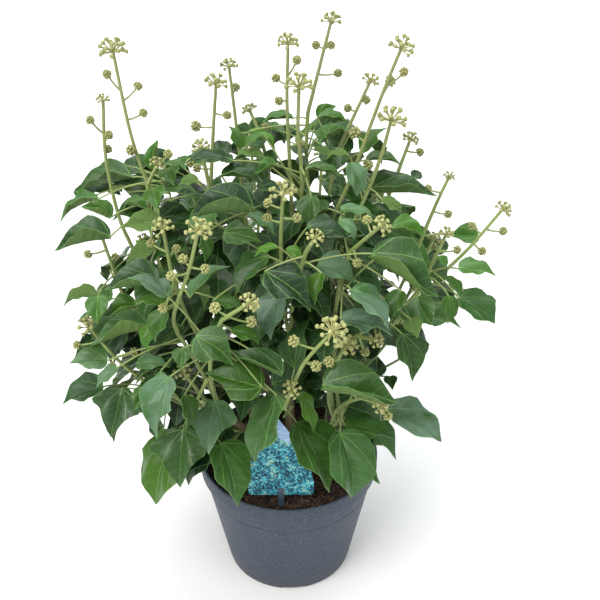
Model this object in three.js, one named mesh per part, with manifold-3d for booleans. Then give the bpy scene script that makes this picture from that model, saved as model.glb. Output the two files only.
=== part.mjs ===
// Potted tree ivy: a bushy flowering ivy in a round nursery pot, with soil and a plant label.
// Millimetres, +Z up, the side shown in the photograph faces -Y.
// The origin is the centre of the pot's underside.

import * as THREE from "three";
import { mergeVertices } from "three/addons/utils/BufferGeometryUtils.js";
import Module from "manifold-3d";

const wasm = await Module();
wasm.setup();

// Pot
const POT_HEIGHT = 142;
const RIM_RADIUS = 95;
const FOOT_RADIUS = 68;
const COLLAR_HEIGHT = 17;
const COLLAR_STEP = 3.2;
const POT_WALL = 2.5;
const RIM_WALL = 3;
const POT_FLOOR = 3;
const POT_EDGE = 1.5;
const POT_SIDES = 24;
const DRAIN_HOLES = 4;
const DRAIN_RADIUS = 5;
const DRAIN_RING = 46;
const DRAIN_SIDES = 8;
const NOTCH = [24, 12, 2.4]; // width, depth and height of the drain notch at the foot
const NOTCH_X = 4;

// Soil
const SOIL_HEIGHT = 133;
const SOIL_GAP = 0.4; // to the wall of the pot
const SOIL_RING = 48; // the top is rough within this radius
const SOIL_RELIEF = 2.2;
const SOIL_WAVES = [11, 13];
const FIT_GAP = 0.3;
const ROOTED_DEPTH = 32;

// Plant label, which ends in a pointed arch
const LABEL_WIDTH = 66;
const LABEL_HEIGHT = 92;
const LABEL_CORNER = 5;
const LABEL_SHOULDER = 14; // where its straight sides end
const LABEL_TIP = -5.5;
const LABEL_ARCHES = [[28, 48], [-34, 55]]; // guide points of the curves on its right and left
const LABEL_THICKNESS = 0.8;
const LABEL_LEAN = (9 * Math.PI) / 180;
const LABEL_FOOT = [-7, -74, 145];
const STAKE_WIDTH = 6;
const STAKE_THICKNESS = 1.4;
const STAKE_LENGTH = 40;
const STAKE_LAP = 8; // how far it runs up over the card

// Leaves
const LEAF_LONG = 1.2; // length of a blade over its width
const LONGEST_LEAF = 88;
const BLADE_THICKNESS = 0.9;
const BASE_HALF = 1.1; // half width of a blade where the petiole meets it
const PETIOLE_RADIUS = 0.7; // at its root, where it is slimmest
const FREE_LEAVES = 60; // leaves beside those that the photograph shows one by one
const FREE_WIDTHS = [42, 62];
const FREE_LONG = [1.1, 1.3];
const FREE_PETIOLES = [20, 44];
const FREE_DROOPS = [0.2, 1.1];
const ARCHES = [0.01, 0.08]; // rise of a blade between its base and tip, over its length
const FREE_ARCHES = [0.02, 0.09];
const FOLDS = [-0.05, 0.3]; // rise of a blade's edges over its half width

// Wood: radii at the start and end
const TRUNK_RADII = [4.2, 3.1];
const BRANCH_RADIUS = 2.1;
const SPIKE_RADIUS = 1.7;
const SHOOT_RADIUS = 1.5;
const TRUNK_SIDES = 4;
const BRANCH_SIDES = 3;

// Flower heads
const UMBEL_CORE = 0.3; // core of an umbel over its radius
const STALK_RADIUS = 0.7;
const STALK_TOP = 1.2;
const FULL_UMBEL = 0.5; // how far towards the stalk the clubs reach, as a cosine
const HALF_UMBEL = 0;
const FULL_FROM = 11; // umbels of this radius or less have clubs on their far half alone
const CLUB_WIDTH = 0.92; // width of a club over that of the face it grows from
const SPLAY = 0.1; // how far an axis leans out, as a share of its depth for each of its points
const BACK_HEADS = [[0.42, 12], [0.74, 9]]; // place on the axis, rise above it
const BACK_HEAD_RADIUS = 5;
const BACK_HEAD_REACH = 15;

// The photograph's camera, which turns its pixels into places: eye, pitch and focal length in pixels
const EYE = [12, -800, 832];
const PITCH = (32.1 * Math.PI) / 180;
const FOCAL = 971;
const IMAGE_CENTRE = 300;
const AHEAD = [0, Math.cos(PITCH), -Math.sin(PITCH)];
const OVER = [0, Math.sin(PITCH), Math.cos(PITCH)];

// The bush as one rounded body: the middle of it and its half sizes
const BUSH = [0, 0, 318];
const BUSH_SIZE = [212, 165, 188];

// Woody stems: name, foot on the soil, fork
const STEMS = [
  ["left", [-36, 12], [-78, 22, 262]],
  ["left_front", [-30, -26], [-62, -62, 232]],
  ["front", [0, -34], [2, -66, 262]],
  ["right_front", [26, -28], [52, -70, 236]],
  ["right", [38, 10], [84, 18, 262]],
  ["middle", [2, 2], [4, 6, 300]],
  ["left_back", [-20, 42], [-52, 86, 292]],
  ["right_back", [22, 44], [48, 92, 292]],
];

// Flower spikes: stem, then [column, row] of the umbel with its radius and depth, the points its
// axis passes on the way down, and the side heads with their radii. Depth is Y in millimetres.
const SPIKES = [
  ["left", [113, 52, 13], 10, [[131, 135], [150, 190], [165, 223]],
    [[107, 74, 5], [138, 86, 5], [143, 113, 5], [131, 150, 6]]],
  ["left", [103, 101, 7], 40, [[106, 160], [119, 217], [132, 247]],
    [[90, 120, 5], [109, 135, 5], [108, 149, 5]]],
  ["left_back", [216, 84, 11], 30, [[213, 135], [211, 182]],
    [[196, 126, 6], [227, 115, 5], [223, 158, 5], [197, 168, 5]]],
  ["left_back", [229, 67, 9], 75, [[235, 115], [240, 160]], [[236, 87, 5]]],
  ["left_back", [250, 111, 8], 60, [[260, 135], [268, 165]], [[265, 127, 5], [237, 133, 5]]],
  ["left", [201, 148, 9], -8, [[209, 185]], [[190, 163, 5]]],
  ["left", [157, 165, 8], -20, [[148, 184]], [[168, 154, 5]]],
  ["middle", [288, 44, 10], 22, [[287, 100], [289, 150], [291, 190]],
    [[276, 78, 5], [297, 60, 5], [279, 101, 5], [300, 143, 5]]],
  ["middle", [299, 87, 13], -8, [[298, 130], [301, 160]], []],
  ["right_back", [331, 22, 10], 60, [[320, 65], [308, 112]], [[331, 45, 5], [338, 73, 5], [316, 45, 5]]],
  ["right_back", [370, 82, 9], 52, [[352, 120], [338, 150]], [[366, 100, 5], [348, 108, 5]]],
  ["right", [401, 49, 12], 0, [[382, 95], [352, 175], [333, 217]],
    [[404, 72, 5], [390, 81, 6], [355, 133, 7], [368, 165, 6]]],
  ["middle", [391, 121, 14], -12, [[383, 150], [374, 176]], []],
  ["right_back", [410, 140, 9], 62, [[398, 172]], [[420, 152, 5]]],
  ["right", [449, 177, 6], 30, [[438, 200], [425, 230]], [[428, 189, 5], [448, 214, 5]]],
  ["right", [502, 210, 9], 0, [[470, 247], [443, 273]], [[503, 231, 5], [482, 251, 5], [472, 226, 5]]],
  ["right", [446, 235, 8], -22, [[432, 264]], [[457, 250, 5]]],
  ["right_front", [381, 226, 9], -112, [[364, 240], [350, 252]], [[367, 220, 5], [357, 263, 5]]],
  ["middle", [315, 238, 8], -128, [[306, 252]], []],
  ["middle", [283, 194, 12], -92, [[281, 232], [281, 256]], [[268, 203, 5], [267, 218, 5], [297, 218, 5]]],
  ["left_front", [198, 231, 12], -132, [[189, 270], [174, 315], [178, 334]],
    [[183, 259, 5], [205, 269, 5], [171, 276, 5], [163, 308, 5]]],
  ["left", [163, 229, 10], -88, [[171, 270]], [[151, 243, 5], [176, 249, 5]]],
  ["left", [99, 229, 8], -10, [[121, 290]], [[88, 254, 5], [115, 257, 5]]],
  ["front", [332, 332, 14], -158, [[305, 362], [290, 392]], [[294, 341, 6], [316, 366, 6], [329, 362, 6]]],
  ["right_front", [346, 346, 11], -124, [[331, 372]], []],
  ["front", [291, 390, 9], -140, [[286, 404]], []],
  ["left_front", [249, 303, 9], -152, [[222, 320]], [[215, 308, 6], [251, 322, 6]]],
  ["left_front", [89, 327, 11], -60, [[118, 360], [145, 382]], [[77, 345, 5], [112, 366, 5], [134, 352, 5]]],
  ["front", [197, 400, 9], -122, [[207, 380]], []],
  ["right_front", [375, 340, 8], -128, [[357, 336]], [[365, 352, 5]]],
  ["right_front", [380, 404, 9], -150, [[362, 398]], [[376, 387, 5], [388, 416, 5]]],
  ["left_front", [183, 372, 9], -84, [[196, 388]], []],
  ["right", [420, 288, 8], -42, [[405, 306]], []],
];

// Spikes on the far side, by place: stem, umbel, foot
const BACK_SPIKES = [
  ["left_back", [-104, 130, 388], [-84, 112, 322], 9],
  ["left_back", [-40, 168, 412], [-34, 150, 336], 10],
  ["right_back", [36, 172, 408], [32, 152, 334], 10],
  ["right_back", [102, 130, 392], [84, 114, 322], 9],
  ["right", [150, 84, 352], [128, 72, 296], 8],
  ["left", [-150, 84, 350], [-128, 70, 292], 8],
];

// Shoots that carry leaves alone: stem, end
const SHOOTS = [
  ["left", [-150, 10, 296]],
  ["left", [-166, -14, 372]],
  ["left", [-118, 52, 440]],
  ["left_front", [-132, -84, 214]],
  ["left_front", [-92, -118, 190]],
  ["left_front", [-100, -112, 300]],
  ["front", [-46, -118, 190]],
  ["front", [22, -112, 262]],
  ["right_front", [70, -112, 206]],
  ["right_front", [104, -76, 236]],
  ["right_front", [64, -110, 320]],
  ["right", [160, -8, 300]],
  ["right", [132, -30, 380]],
  ["middle", [-40, -30, 452]],
  ["middle", [52, -34, 446]],
  ["left_back", [-96, 128, 238]],
  ["left_back", [-30, 156, 262]],
  ["right_back", [36, 150, 232]],
  ["right_back", [104, 122, 262]],
  ["right", [150, 60, 240]],
  ["left", [-148, 66, 232]],
];

// Leaves that the photograph shows: [column, row] of the base, then of the tip, then the width in
// pixels, and for one its depth. They are listed from the front to the back of the bush.
const SHOWN_LEAVES = [
  [324, 379, 400, 396, 33, -150], [301, 392, 315, 434, 14], [297, 422, 329, 493, 42],
  [340, 433, 356, 498, 48], [276, 395, 249, 461, 30, -154], [215, 401, 210, 450, 46],
  [221, 443, 238, 507, 38], [183, 429, 180, 488, 48], [171, 433, 154, 504, 45], [327, 402, 386, 420, 33],
  [345, 425, 394, 439, 22], [389, 409, 443, 440, 30], [254, 207, 190, 211, 32], [262, 387, 205, 371, 40],
  [196, 336, 235, 364, 38], [122, 388, 110, 438, 42], [169, 377, 155, 439, 38], [145, 388, 135, 409, 20],
  [185, 395, 187, 430, 14], [103, 386, 61, 402, 25], [117, 367, 96, 387, 14], [107, 360, 69, 362, 24],
  [158, 380, 148, 402, 16], [160, 372, 163, 386, 12], [294, 368, 308, 316, 26], [284, 371, 233, 349, 14],
  [232, 330, 261, 342, 13], [265, 271, 314, 308, 39], [267, 256, 234, 294, 24], [321, 273, 315, 305, 16],
  [318, 264, 356, 282, 28], [352, 290, 392, 328, 25], [352, 252, 384, 284, 18], [341, 318, 394, 332, 20],
  [278, 295, 269, 340, 30], [213, 300, 245, 310, 14], [189, 297, 228, 263, 14], [165, 311, 153, 342, 22],
  [150, 325, 148, 352, 16], [137, 363, 170, 366, 15], [182, 348, 182, 369, 20], [403, 334, 413, 382, 33],
  [401, 291, 390, 322, 18], [410, 319, 417, 338, 20], [373, 252, 439, 297, 50], [378, 257, 400, 281, 12],
  [165, 304, 134, 300, 10], [135, 301, 102, 314, 18], [147, 319, 88, 338, 20], [98, 296, 98, 324, 24],
  [96, 294, 62, 305, 15], [168, 296, 128, 275, 15], [158, 275, 103, 280, 22], [152, 245, 127, 262, 20],
  [185, 243, 150, 262, 20], [204, 236, 205, 262, 12], [214, 211, 188, 242, 26], [224, 232, 262, 240, 25],
  [247, 215, 276, 234, 12], [277, 246, 254, 255, 9], [287, 248, 303, 260, 12], [307, 227, 350, 238, 19],
  [340, 220, 356, 238, 13], [311, 196, 309, 225, 23], [352, 163, 358, 196, 22], [393, 224, 427, 232, 14],
  [381, 199, 403, 216, 14], [341, 209, 373, 215, 12], [363, 187, 438, 187, 20], [417, 298, 429, 324, 28],
  [449, 296, 449, 324, 20], [459, 298, 496, 322, 30], [461, 296, 440, 275, 13], [478, 236, 449, 236, 22],
  [459, 268, 497, 274, 18], [440, 256, 447, 268, 10], [158, 222, 122, 226, 25], [110, 235, 53, 246, 25],
  [126, 201, 150, 207, 10], [96, 195, 56, 217, 16], [113, 212, 83, 200, 15], [130, 171, 71, 185, 22],
  [152, 189, 161, 211, 25], [157, 190, 199, 192, 14], [168, 168, 175, 187, 22], [186, 167, 160, 165, 10],
  [199, 181, 178, 186, 12], [150, 168, 152, 139, 18], [232, 160, 185, 160, 18], [222, 172, 265, 180, 16],
  [264, 158, 232, 159, 12], [275, 161, 253, 170, 13], [242, 148, 230, 125, 14], [262, 133, 244, 147, 10],
  [249, 131, 277, 148, 10], [281, 131, 256, 127, 12], [293, 116, 261, 120, 10], [307, 166, 343, 174, 12],
  [350, 157, 325, 159, 9], [330, 156, 311, 149, 10], [326, 137, 313, 131, 9], [296, 142, 319, 122, 10],
  [318, 141, 348, 125, 13], [319, 115, 349, 120, 10], [316, 115, 335, 103, 12], [363, 152, 386, 126, 16],
  [366, 158, 402, 161, 10],
];
// How many of them, from the start, hang low over the front of the pot, and how far forward
const LOW_LEAVES = 12;
const LOW_DEPTH = -128;

const plus = (a, b, k = 1) => [a[0] + b[0] * k, a[1] + b[1] * k, a[2] + b[2] * k];
const minus = (a, b) => plus(a, b, -1);
const dot = (a, b) => a[0] * b[0] + a[1] * b[1] + a[2] * b[2];
const length = (a) => Math.sqrt(dot(a, a));
const unit = (a) => plus([0, 0, 0], a, 1 / length(a));
const cross = (a, b) => [a[1] * b[2] - a[2] * b[1], a[2] * b[0] - a[0] * b[2], a[0] * b[1] - a[1] * b[0]];
const between = (a, b, t) => plus(a, minus(b, a), t);

// The same draws come out each time.
let draw = 20119;
function random(low, high) {
  draw = (draw * 48271) % 2147483647;
  return low + (high - low) * (draw / 2147483647);
}

// The ray through a pixel of the photograph
const sight = (column, row) =>
  plus(plus([column - IMAGE_CENTRE, 0, 0], AHEAD, FOCAL), OVER, IMAGE_CENTRE - row);

// The place that a pixel shows at a given depth
function seen(column, row, depth) {
  const ray = sight(column, row);
  return plus(EYE, ray, (depth - EYE[1]) / ray[1]);
}

// The depth at which the ray through a pixel enters the bush, or passes it nearest
function bushDepth(column, row) {
  const ray = sight(column, row);
  const start = minus(EYE, BUSH).map((v, i) => v / BUSH_SIZE[i]);
  const step = ray.map((v, i) => v / BUSH_SIZE[i]);
  const a = dot(step, step);
  const half = dot(start, step);
  const under = half * half - a * (dot(start, start) - 1);
  return EYE[1] + (ray[1] * (-half - Math.sqrt(Math.max(0, under)))) / a;
}

// A smooth bow through three guide points, as short straight runs
function bow(start, guide, end, runs) {
  const points = [];
  for (let i = 0; i <= runs; i++) {
    const t = i / runs;
    points.push(between(between(start, guide, t), between(guide, end, t), t));
  }
  return points;
}

// Points no further apart than step along a path
function spaced(path, step) {
  const points = [path[0]];
  for (let i = 1; i < path.length; i++) {
    const parts = Math.ceil(length(minus(path[i], path[i - 1])) / step);
    for (let j = 1; j <= parts; j++) points.push(between(path[i - 1], path[i], j / parts));
  }
  return points;
}

// What is already taken up, as balls in cells of space: [x, y, z, radius, owner, kind]
const CELL = 12;
const taken = new Map();
const cellOf = (point) => point.map((v) => Math.floor(v / CELL));

function take(points, radius, owner, kind) {
  for (const point of points) {
    const key = cellOf(point).join();
    if (!taken.has(key)) taken.set(key, []);
    taken.get(key).push([...point, radius, owner, kind]);
  }
}

// Leaves of one stem may come closer to each other than to another stem's.
const OWN_SHARE = 0.75;

function isClear(points, radius, owner, kind) {
  for (const point of points) {
    const [a, b, c] = cellOf(point);
    for (let i = a - 1; i <= a + 1; i++) {
      for (let j = b - 1; j <= b + 1; j++) {
        for (let k = c - 1; k <= c + 1; k++) {
          for (const ball of taken.get([i, j, k].join()) ?? []) {
            const own = ball[4] === owner;
            if (own && kind !== "blade" && ball[5] !== "blade") continue;
            const reach = (radius + ball[3]) * (own ? OWN_SHARE : 1);
            const gap = minus(point, ball);
            if (dot(gap, gap) < reach * reach) return false;
          }
        }
      }
    }
  }
  return true;
}

// The pot's outer radius at a height
const potRadius = (height) =>
  height > POT_HEIGHT - COLLAR_HEIGHT
    ? RIM_RADIUS
    : FOOT_RADIUS + ((RIM_RADIUS - COLLAR_STEP - FOOT_RADIUS) * height) / (POT_HEIGHT - COLLAR_HEIGHT);

const POT_CLEARANCE = 4;
const SOIL_CLEARANCE = 6;
const LABEL_CLEARANCE = 5;
const LABEL_SLOPE = Math.tan(LABEL_LEAN);

// True where a point is off the pot, the soil, the label and the floor
function isFree([x, y, z]) {
  const out = Math.hypot(x, y);
  const overSoil = z > SOIL_HEIGHT + SOIL_CLEARANCE && out < RIM_RADIUS - RIM_WALL - POT_CLEARANCE;
  const offPot = z > POT_HEIGHT + POT_CLEARANCE || out > potRadius(z) + POT_CLEARANCE || overSoil;
  const rise = z - LABEL_FOOT[2];
  const fromLabel = Math.abs(y - LABEL_FOOT[1] - rise * LABEL_SLOPE);
  const besideLabel = Math.abs(x - LABEL_FOOT[0]) > LABEL_WIDTH / 2 + POT_CLEARANCE;
  const offLabel = fromLabel > LABEL_CLEARANCE || besideLabel || rise > LABEL_HEIGHT + POT_CLEARANCE;
  return z > POT_CLEARANCE && offPot && offLabel;
}

// Leafy stems: each a list of tubes, each tube a path with a radius at each end
const stems = STEMS.map(([name]) => ({ name: "leafy_stem_" + name, tubes: [], leaves: [] }));
const stemNamed = (name) => stems.find((stem) => stem.name === "leafy_stem_" + name);

// Radii of the balls that keep the pieces apart
const TRUNK_BALL = 5.5;
const WOOD_BALL = 3.5;
const PETIOLE_BALL = 2.6;
const BLADE_BALL = 4;
const SPIKE_BALL = 3.2;
const BALL_STEP = 5;
const FINE_STEP = 4;

// How high a stem stands straight above the soil, and how far over the middle its bow reaches
const TRUNK_STRAIGHT = 14;
const TRUNK_BOW = 10;
const WOOD_RUNS = 3;

for (const [name, foot, fork] of STEMS) {
  const stem = stemNamed(name);
  const rooted = [...foot, SOIL_HEIGHT - ROOTED_DEPTH];
  const above = [...foot, SOIL_HEIGHT + TRUNK_STRAIGHT];
  const guide = [...foot, (SOIL_HEIGHT + fork[2]) / 2 + TRUNK_BOW];
  const path = [rooted, ...bow(above, guide, fork, WOOD_RUNS)];
  stem.tubes.push({ path, from: TRUNK_RADII[0], to: TRUNK_RADII[1] });
  take(spaced(path.slice(1), BALL_STEP), TRUNK_BALL, stem.name, "wood");
}

// Flower spikes: an axis with a terminal umbel and stalked side heads. They splay, so each lower
// point of an axis lies nearer the middle of the bush. Side heads grow below the top of the axis,
// from where their stalk is short and rises.
const HEADS_FROM = 0.3;
const HEAD_SPREAD = 9;
const HEAD_RISE = 6;
const FALLING_COST = 0.6;
const spikes = [];

function addSpike(owner, axis, radius, sideHeads) {
  const number = String(spikes.length + 1).padStart(2, "0");
  const spike = { name: "flower_spike_" + number, owner, axis, radius, sideHeads };
  take(spaced(axis, BALL_STEP), SPIKE_BALL, spike.name, "spike");
  take([axis[0]], radius + 1, spike.name, "spike");
  for (const head of sideHeads) {
    take(spaced([head.root, head.centre], FINE_STEP), PETIOLE_BALL, spike.name, "spike");
    take([head.centre], head.radius + 1, spike.name, "spike");
  }
  spikes.push(spike);
}

for (const [owner, [column, row, radius], depth, way, heads] of SPIKES) {
  const lower = way.map(([c, r], i) => seen(c, r, depth * (1 - SPLAY * (i + 1))));
  const axis = [seen(column, row, depth), ...lower];
  const along = spaced(axis, FINE_STEP);
  const rooting = along.slice(Math.ceil(along.length * HEADS_FROM), -1);
  const sideHeads = heads.map(([c, r, size]) => {
    const centre = seen(c, r, depth * (1 - SPLAY) + random(-HEAD_SPREAD, HEAD_SPREAD));
    const falls = (point) => Math.max(0, point[2] - centre[2] + HEAD_RISE);
    const reach = (point) => length(minus(point, centre)) + FALLING_COST * falls(point);
    const root = rooting.reduce((best, point) => (reach(point) < reach(best) ? point : best));
    return { centre, root, radius: size };
  });
  addSpike(stemNamed(owner), axis, radius, sideHeads);
}

for (const [owner, head, foot, radius] of BACK_SPIKES) {
  const axis = [head, between(head, foot, 0.5), foot];
  const sideHeads = BACK_HEADS.map(([share, rise]) => {
    const root = between(head, foot, share);
    const swing = random(0, 2 * Math.PI);
    const level = plus(root, [Math.cos(swing), Math.sin(swing), 0], BACK_HEAD_REACH);
    return { centre: plus(level, [0, 0, rise]), root, radius: BACK_HEAD_RADIUS };
  });
  addSpike(stemNamed(owner), axis, radius, sideHeads);
}

// Branches run from a stem's fork on a bow to a place, swung aside where another stem is in the way.
const SWINGS = [[0, 0], [1, 0], [-1, 0], [0, 1], [0, -1], [1, 1], [-1, 1], [1, -1], [-1, -1]];
const SWING_STEP = 10;
const MOST_SWINGS = 5;
const JOIN_REACH = 10;
const FORK_STEP = 8;
const SPREAD_FIRST = [0.55, 0.55, 0.3]; // share of the way that the guide point has gone: x, y, z
const ARRIVAL = 0.4; // how far back from its end a branch lines up with the spike that it carries
const ARRIVAL_SHARE = 0.6;

function addBranch(stem, end, arrival, radius) {
  const trunk = spaced([...stem.tubes[0].path].reverse(), FORK_STEP);
  const start = trunk[Math.min(stem.tubes.length - 1, Math.floor(trunk.length / 2))];
  const way = minus(end, start);
  const lifted = plus(start, way.map((v, i) => v * SPREAD_FIRST[i]));
  const lined = arrival ? plus(end, arrival, ARRIVAL * length(way)) : lifted;
  const guide = between(lifted, lined, ARRIVAL_SHARE);
  const side = unit(cross(way, [0, 0.3, 1]));
  const lift = unit(cross(side, way));
  for (let swing = 0; swing < MOST_SWINGS; swing++) {
    for (const [a, b] of SWINGS) {
      const bent = plus(plus(guide, side, a * swing * SWING_STEP), lift, b * swing * SWING_STEP);
      const path = bow(start, bent, end, WOOD_RUNS);
      const middle = spaced(path, BALL_STEP).filter((point) => length(minus(point, end)) > JOIN_REACH);
      if (!isClear(middle, WOOD_BALL, stem.name, "wood") || !middle.every(isFree)) continue;
      stem.tubes.push({ path, from: BRANCH_RADIUS, to: radius, arrival });
      take(spaced(path, BALL_STEP), WOOD_BALL, stem.name, "wood");
      return true;
    }
  }
  return false;
}

const standing = spikes.filter((spike) => {
  const foot = spike.axis.at(-1);
  const down = unit(minus(foot, spike.axis.at(-2)));
  return addBranch(spike.owner, plus(foot, down, FIT_GAP), down, SPIKE_RADIUS);
});
for (const [name, end] of SHOOTS) addBranch(stemNamed(name), end, null, SHOOT_RADIUS);

// Half outlines of a blade, as [share of the length, share of the half width]:
// ovate, three-lobed and narrow
const FORMS = [
  [[-0.06, 0.5], [0.25, 1], [0.62, 0.62]],
  [[-0.05, 0.56], [0.31, 1], [0.5, 0.55]],
  [[0.07, 0.6], [0.4, 1], [0.72, 0.56]],
];
const NARROW = 2;
// A draw up to here makes more leaves ovate than lobed.
const SHOWN_FORMS = 1.35;
const FREE_FORMS = 1.45;

// A place on a blade's middle surface, which arches along the midrib and is folded at it
function onBlade(leaf, t, x) {
  const height = leaf.arch * leaf.long * 4 * t * (1 - t) + leaf.fold * leaf.half * Math.abs(x);
  return plus(plus(plus(leaf.base, leaf.axis, leaf.long * t), leaf.side, leaf.half * x), leaf.normal, height);
}

// Share of the half width at a share of the length, which is kept off the ends
const NEAR_BASE = 0.08;
const NEAR_TIP = 0.98;

function halfWidth(form, t) {
  const outline = [[-0.01, 0.1], ...FORMS[form], [1, 0]];
  const place = Math.min(Math.max(t, NEAR_BASE), NEAR_TIP);
  const next = outline.findIndex(([end]) => end >= place);
  const [a, b] = [outline[next - 1], outline[next]];
  return a[1] + ((b[1] - a[1]) * (place - a[0])) / (b[0] - a[0]);
}

// Points all over a blade
const SAMPLE_STEP = 7;

function bladeSamples(leaf) {
  const rows = Math.ceil(leaf.long / SAMPLE_STEP);
  const samples = [];
  for (let i = 0; i <= rows; i++) {
    const t = i / rows;
    const reach = halfWidth(leaf.form, t);
    const columns = Math.ceil((reach * leaf.half) / SAMPLE_STEP);
    for (let j = -columns; j <= columns; j++) samples.push(onBlade(leaf, t, (reach * j) / columns));
  }
  return samples;
}

// Where petioles can start: places along the wood, well above the soil
const TWIG_STEP = 7;
const TWIG_HEIGHT = 22;
const twigs = stems.flatMap((stem) =>
  stem.tubes.flatMap(({ path }) => {
    const way = spaced(path, TWIG_STEP).filter((point) => point[2] > SOIL_HEIGHT + TWIG_HEIGHT);
    return way.slice(0, -1).map((point) => ({ point, stem, bare: true }));
  }),
);

const PETIOLE_TRIES = 16;
const PETIOLE_START = 5; // what is nearer than this to the twig touches it anyway
const FORWARD_COST = 0.5; // petioles grow towards the near side rather than away from it

// Puts a leaf in place if it and a petiole to some twig are clear, and says whether it did.
function addLeaf(leaf, shortest, longest) {
  const samples = bladeSamples(leaf);
  if (!samples.every(isFree)) return false;
  const clearOf = new Map();
  const near = twigs
    .filter((twig) => twig.bare)
    .map((twig) => ({ twig, far: length(minus(twig.point, leaf.base)) }))
    .filter(({ far }) => far > shortest && far < longest)
    .map(({ twig, far }) => [twig, far + FORWARD_COST * Math.max(0, leaf.base[1] - twig.point[1])])
    .sort((a, b) => a[1] - b[1])
    .slice(0, PETIOLE_TRIES);
  for (const [twig] of near) {
    const { point, stem } = twig;
    if (!clearOf.has(stem)) clearOf.set(stem, isClear(samples, BLADE_BALL, stem.name, "blade"));
    if (!clearOf.get(stem)) continue;
    const middle = spaced([leaf.base, point], FINE_STEP).slice(1);
    const tested = middle.filter((place) => length(minus(place, point)) > PETIOLE_START);
    if (!isClear(tested, PETIOLE_BALL, stem.name, "petiole") || !tested.every(isFree)) continue;
    stem.leaves.push({ ...leaf, root: point });
    twig.bare = false;
    take(samples, BLADE_BALL, stem.name, "blade");
    take(middle, PETIOLE_BALL, stem.name, "petiole");
    return true;
  }
  return false;
}

// A leaf as the photograph shows it: turned and tipped so that it looks that long and that wide
const MOST_ROLL = 1.15;
const PLAIN_BELOW = 30; // narrower leaves, in pixels, have no basal lobes
const NARROW_BELOW = 15; // narrower leaves, in pixels, have the narrow form
const SMALL_BELOW = 13; // narrower leaves, in pixels, are too small for the solids

function leafAsShown([column, row, tipColumn, tipRow, wide], depth, form, arch, fold) {
  const base = seen(column, row, depth);
  const scale = dot(minus(base, EYE), AHEAD) / FOCAL;
  const flat = plus([(tipColumn - column) * scale, 0, 0], OVER, (row - tipRow) * scale);
  const shown = length(flat);
  const long = Math.max(shown, Math.min(LEAF_LONG * wide * scale, LONGEST_LEAF));
  const lean = Math.sqrt(long * long - shown * shown) * (tipRow > row ? -1 : 1);
  const axis = unit(plus(flat, AHEAD, lean));
  const full = Math.max(wide * scale, Math.min(long / LEAF_LONG, (wide * scale) / Math.cos(MOST_ROLL)));
  const roll = Math.acos((wide * scale) / full);
  const face = unit(plus(plus([0, 0, 0], AHEAD, -1), axis, dot(AHEAD, axis)));
  const across = cross(axis, face);
  const straight = face.map((v) => v * Math.cos(roll));
  const [one, other] = [1, -1].map((way) => plus(straight, across, way * Math.sin(roll)));
  const normal = one[2] > other[2] ? one : other;
  const side = cross(axis, normal);
  const [plain, small] = [wide < PLAIN_BELOW, wide < SMALL_BELOW];
  return { base, axis, normal, side, long, half: full / 2, form, arch, fold, plain, small };
}

const SHORTEST_PETIOLE = 12;
const LONGEST_PETIOLE = 70;
const PUSH_STEP = 4;
const MOST_PUSHES = 30;

SHOWN_LEAVES.forEach((shown, i) => {
  const start = shown[5] ?? (i < LOW_LEAVES ? LOW_DEPTH : bushDepth(shown[0], shown[1]));
  const form = shown[4] < NARROW_BELOW ? NARROW : Math.floor(random(0, SHOWN_FORMS));
  const arch = random(...ARCHES);
  const fold = random(...FOLDS);
  for (let push = 0; push < MOST_PUSHES; push++) {
    const leaf = leafAsShown(shown, start + push * PUSH_STEP, form, arch, fold);
    if (addLeaf(leaf, SHORTEST_PETIOLE, LONGEST_PETIOLE + push)) return;
  }
});

// The other leaves grow out of the bush and up to the light, in turns round the wood, and droop.
const TURN = (137.5 * Math.PI) / 180;
const BUSH_HEART = 248; // height that the leaves spread from
const FLATTEN = 0.9;
const OUTWARDS = 1.3;
const UPWARDS = 0.6;
const TILT = 0.25; // how far a blade's face may turn from the way it leans
const LEANING = 0.5;
const LEAF_TRIES = 6;
const TRY_TURN = 0.4;

function leafOnTwig({ point }, spin) {
  const out = unit([point[0], point[1], FLATTEN * (point[2] - BUSH_HEART)]);
  const way = unit(plus([Math.cos(spin), Math.sin(spin), UPWARDS], out, OUTWARDS));
  const base = plus(point, way, random(...FREE_PETIOLES));
  const level = unit([way[0], way[1], 0]);
  const droop = random(...FREE_DROOPS);
  const axis = unit(plus([0, 0, -Math.sin(droop)], level, Math.cos(droop)));
  const up = unit(plus([random(-TILT, TILT), random(-TILT, TILT), 1], level, LEANING));
  const normal = unit(plus(up, axis, -dot(up, axis)));
  const full = random(...FREE_WIDTHS);
  const form = Math.floor(random(0, FREE_FORMS));
  const long = full * random(...FREE_LONG);
  const arch = random(...FREE_ARCHES);
  const fold = random(...FOLDS);
  const side = cross(axis, normal);
  return { base, axis, normal, side, long, half: full / 2, form, arch, fold, plain: true };
}

// The far side comes first, then the flanks: the near side is full already.
const BEHIND_SHARE = 0.63;
const FREE_REACH = 50;
const SPOT_STRIDE = 7;
const behind = ({ point }) => point[1] > 30;
const beside = ({ point }) => point[1] >= -50 && point[1] <= 30;
const LABEL_VIEW = 30; // height above the label that stays clear in front of it

function hidesLabel(leaf) {
  return bladeSamples(leaf).some(([x, y, z]) => {
    const beside = Math.abs(x - LABEL_FOOT[0]) > LABEL_WIDTH / 2;
    return y < LABEL_FOOT[1] && !beside && z < LABEL_FOOT[2] + LABEL_HEIGHT + LABEL_VIEW;
  });
}

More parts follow.
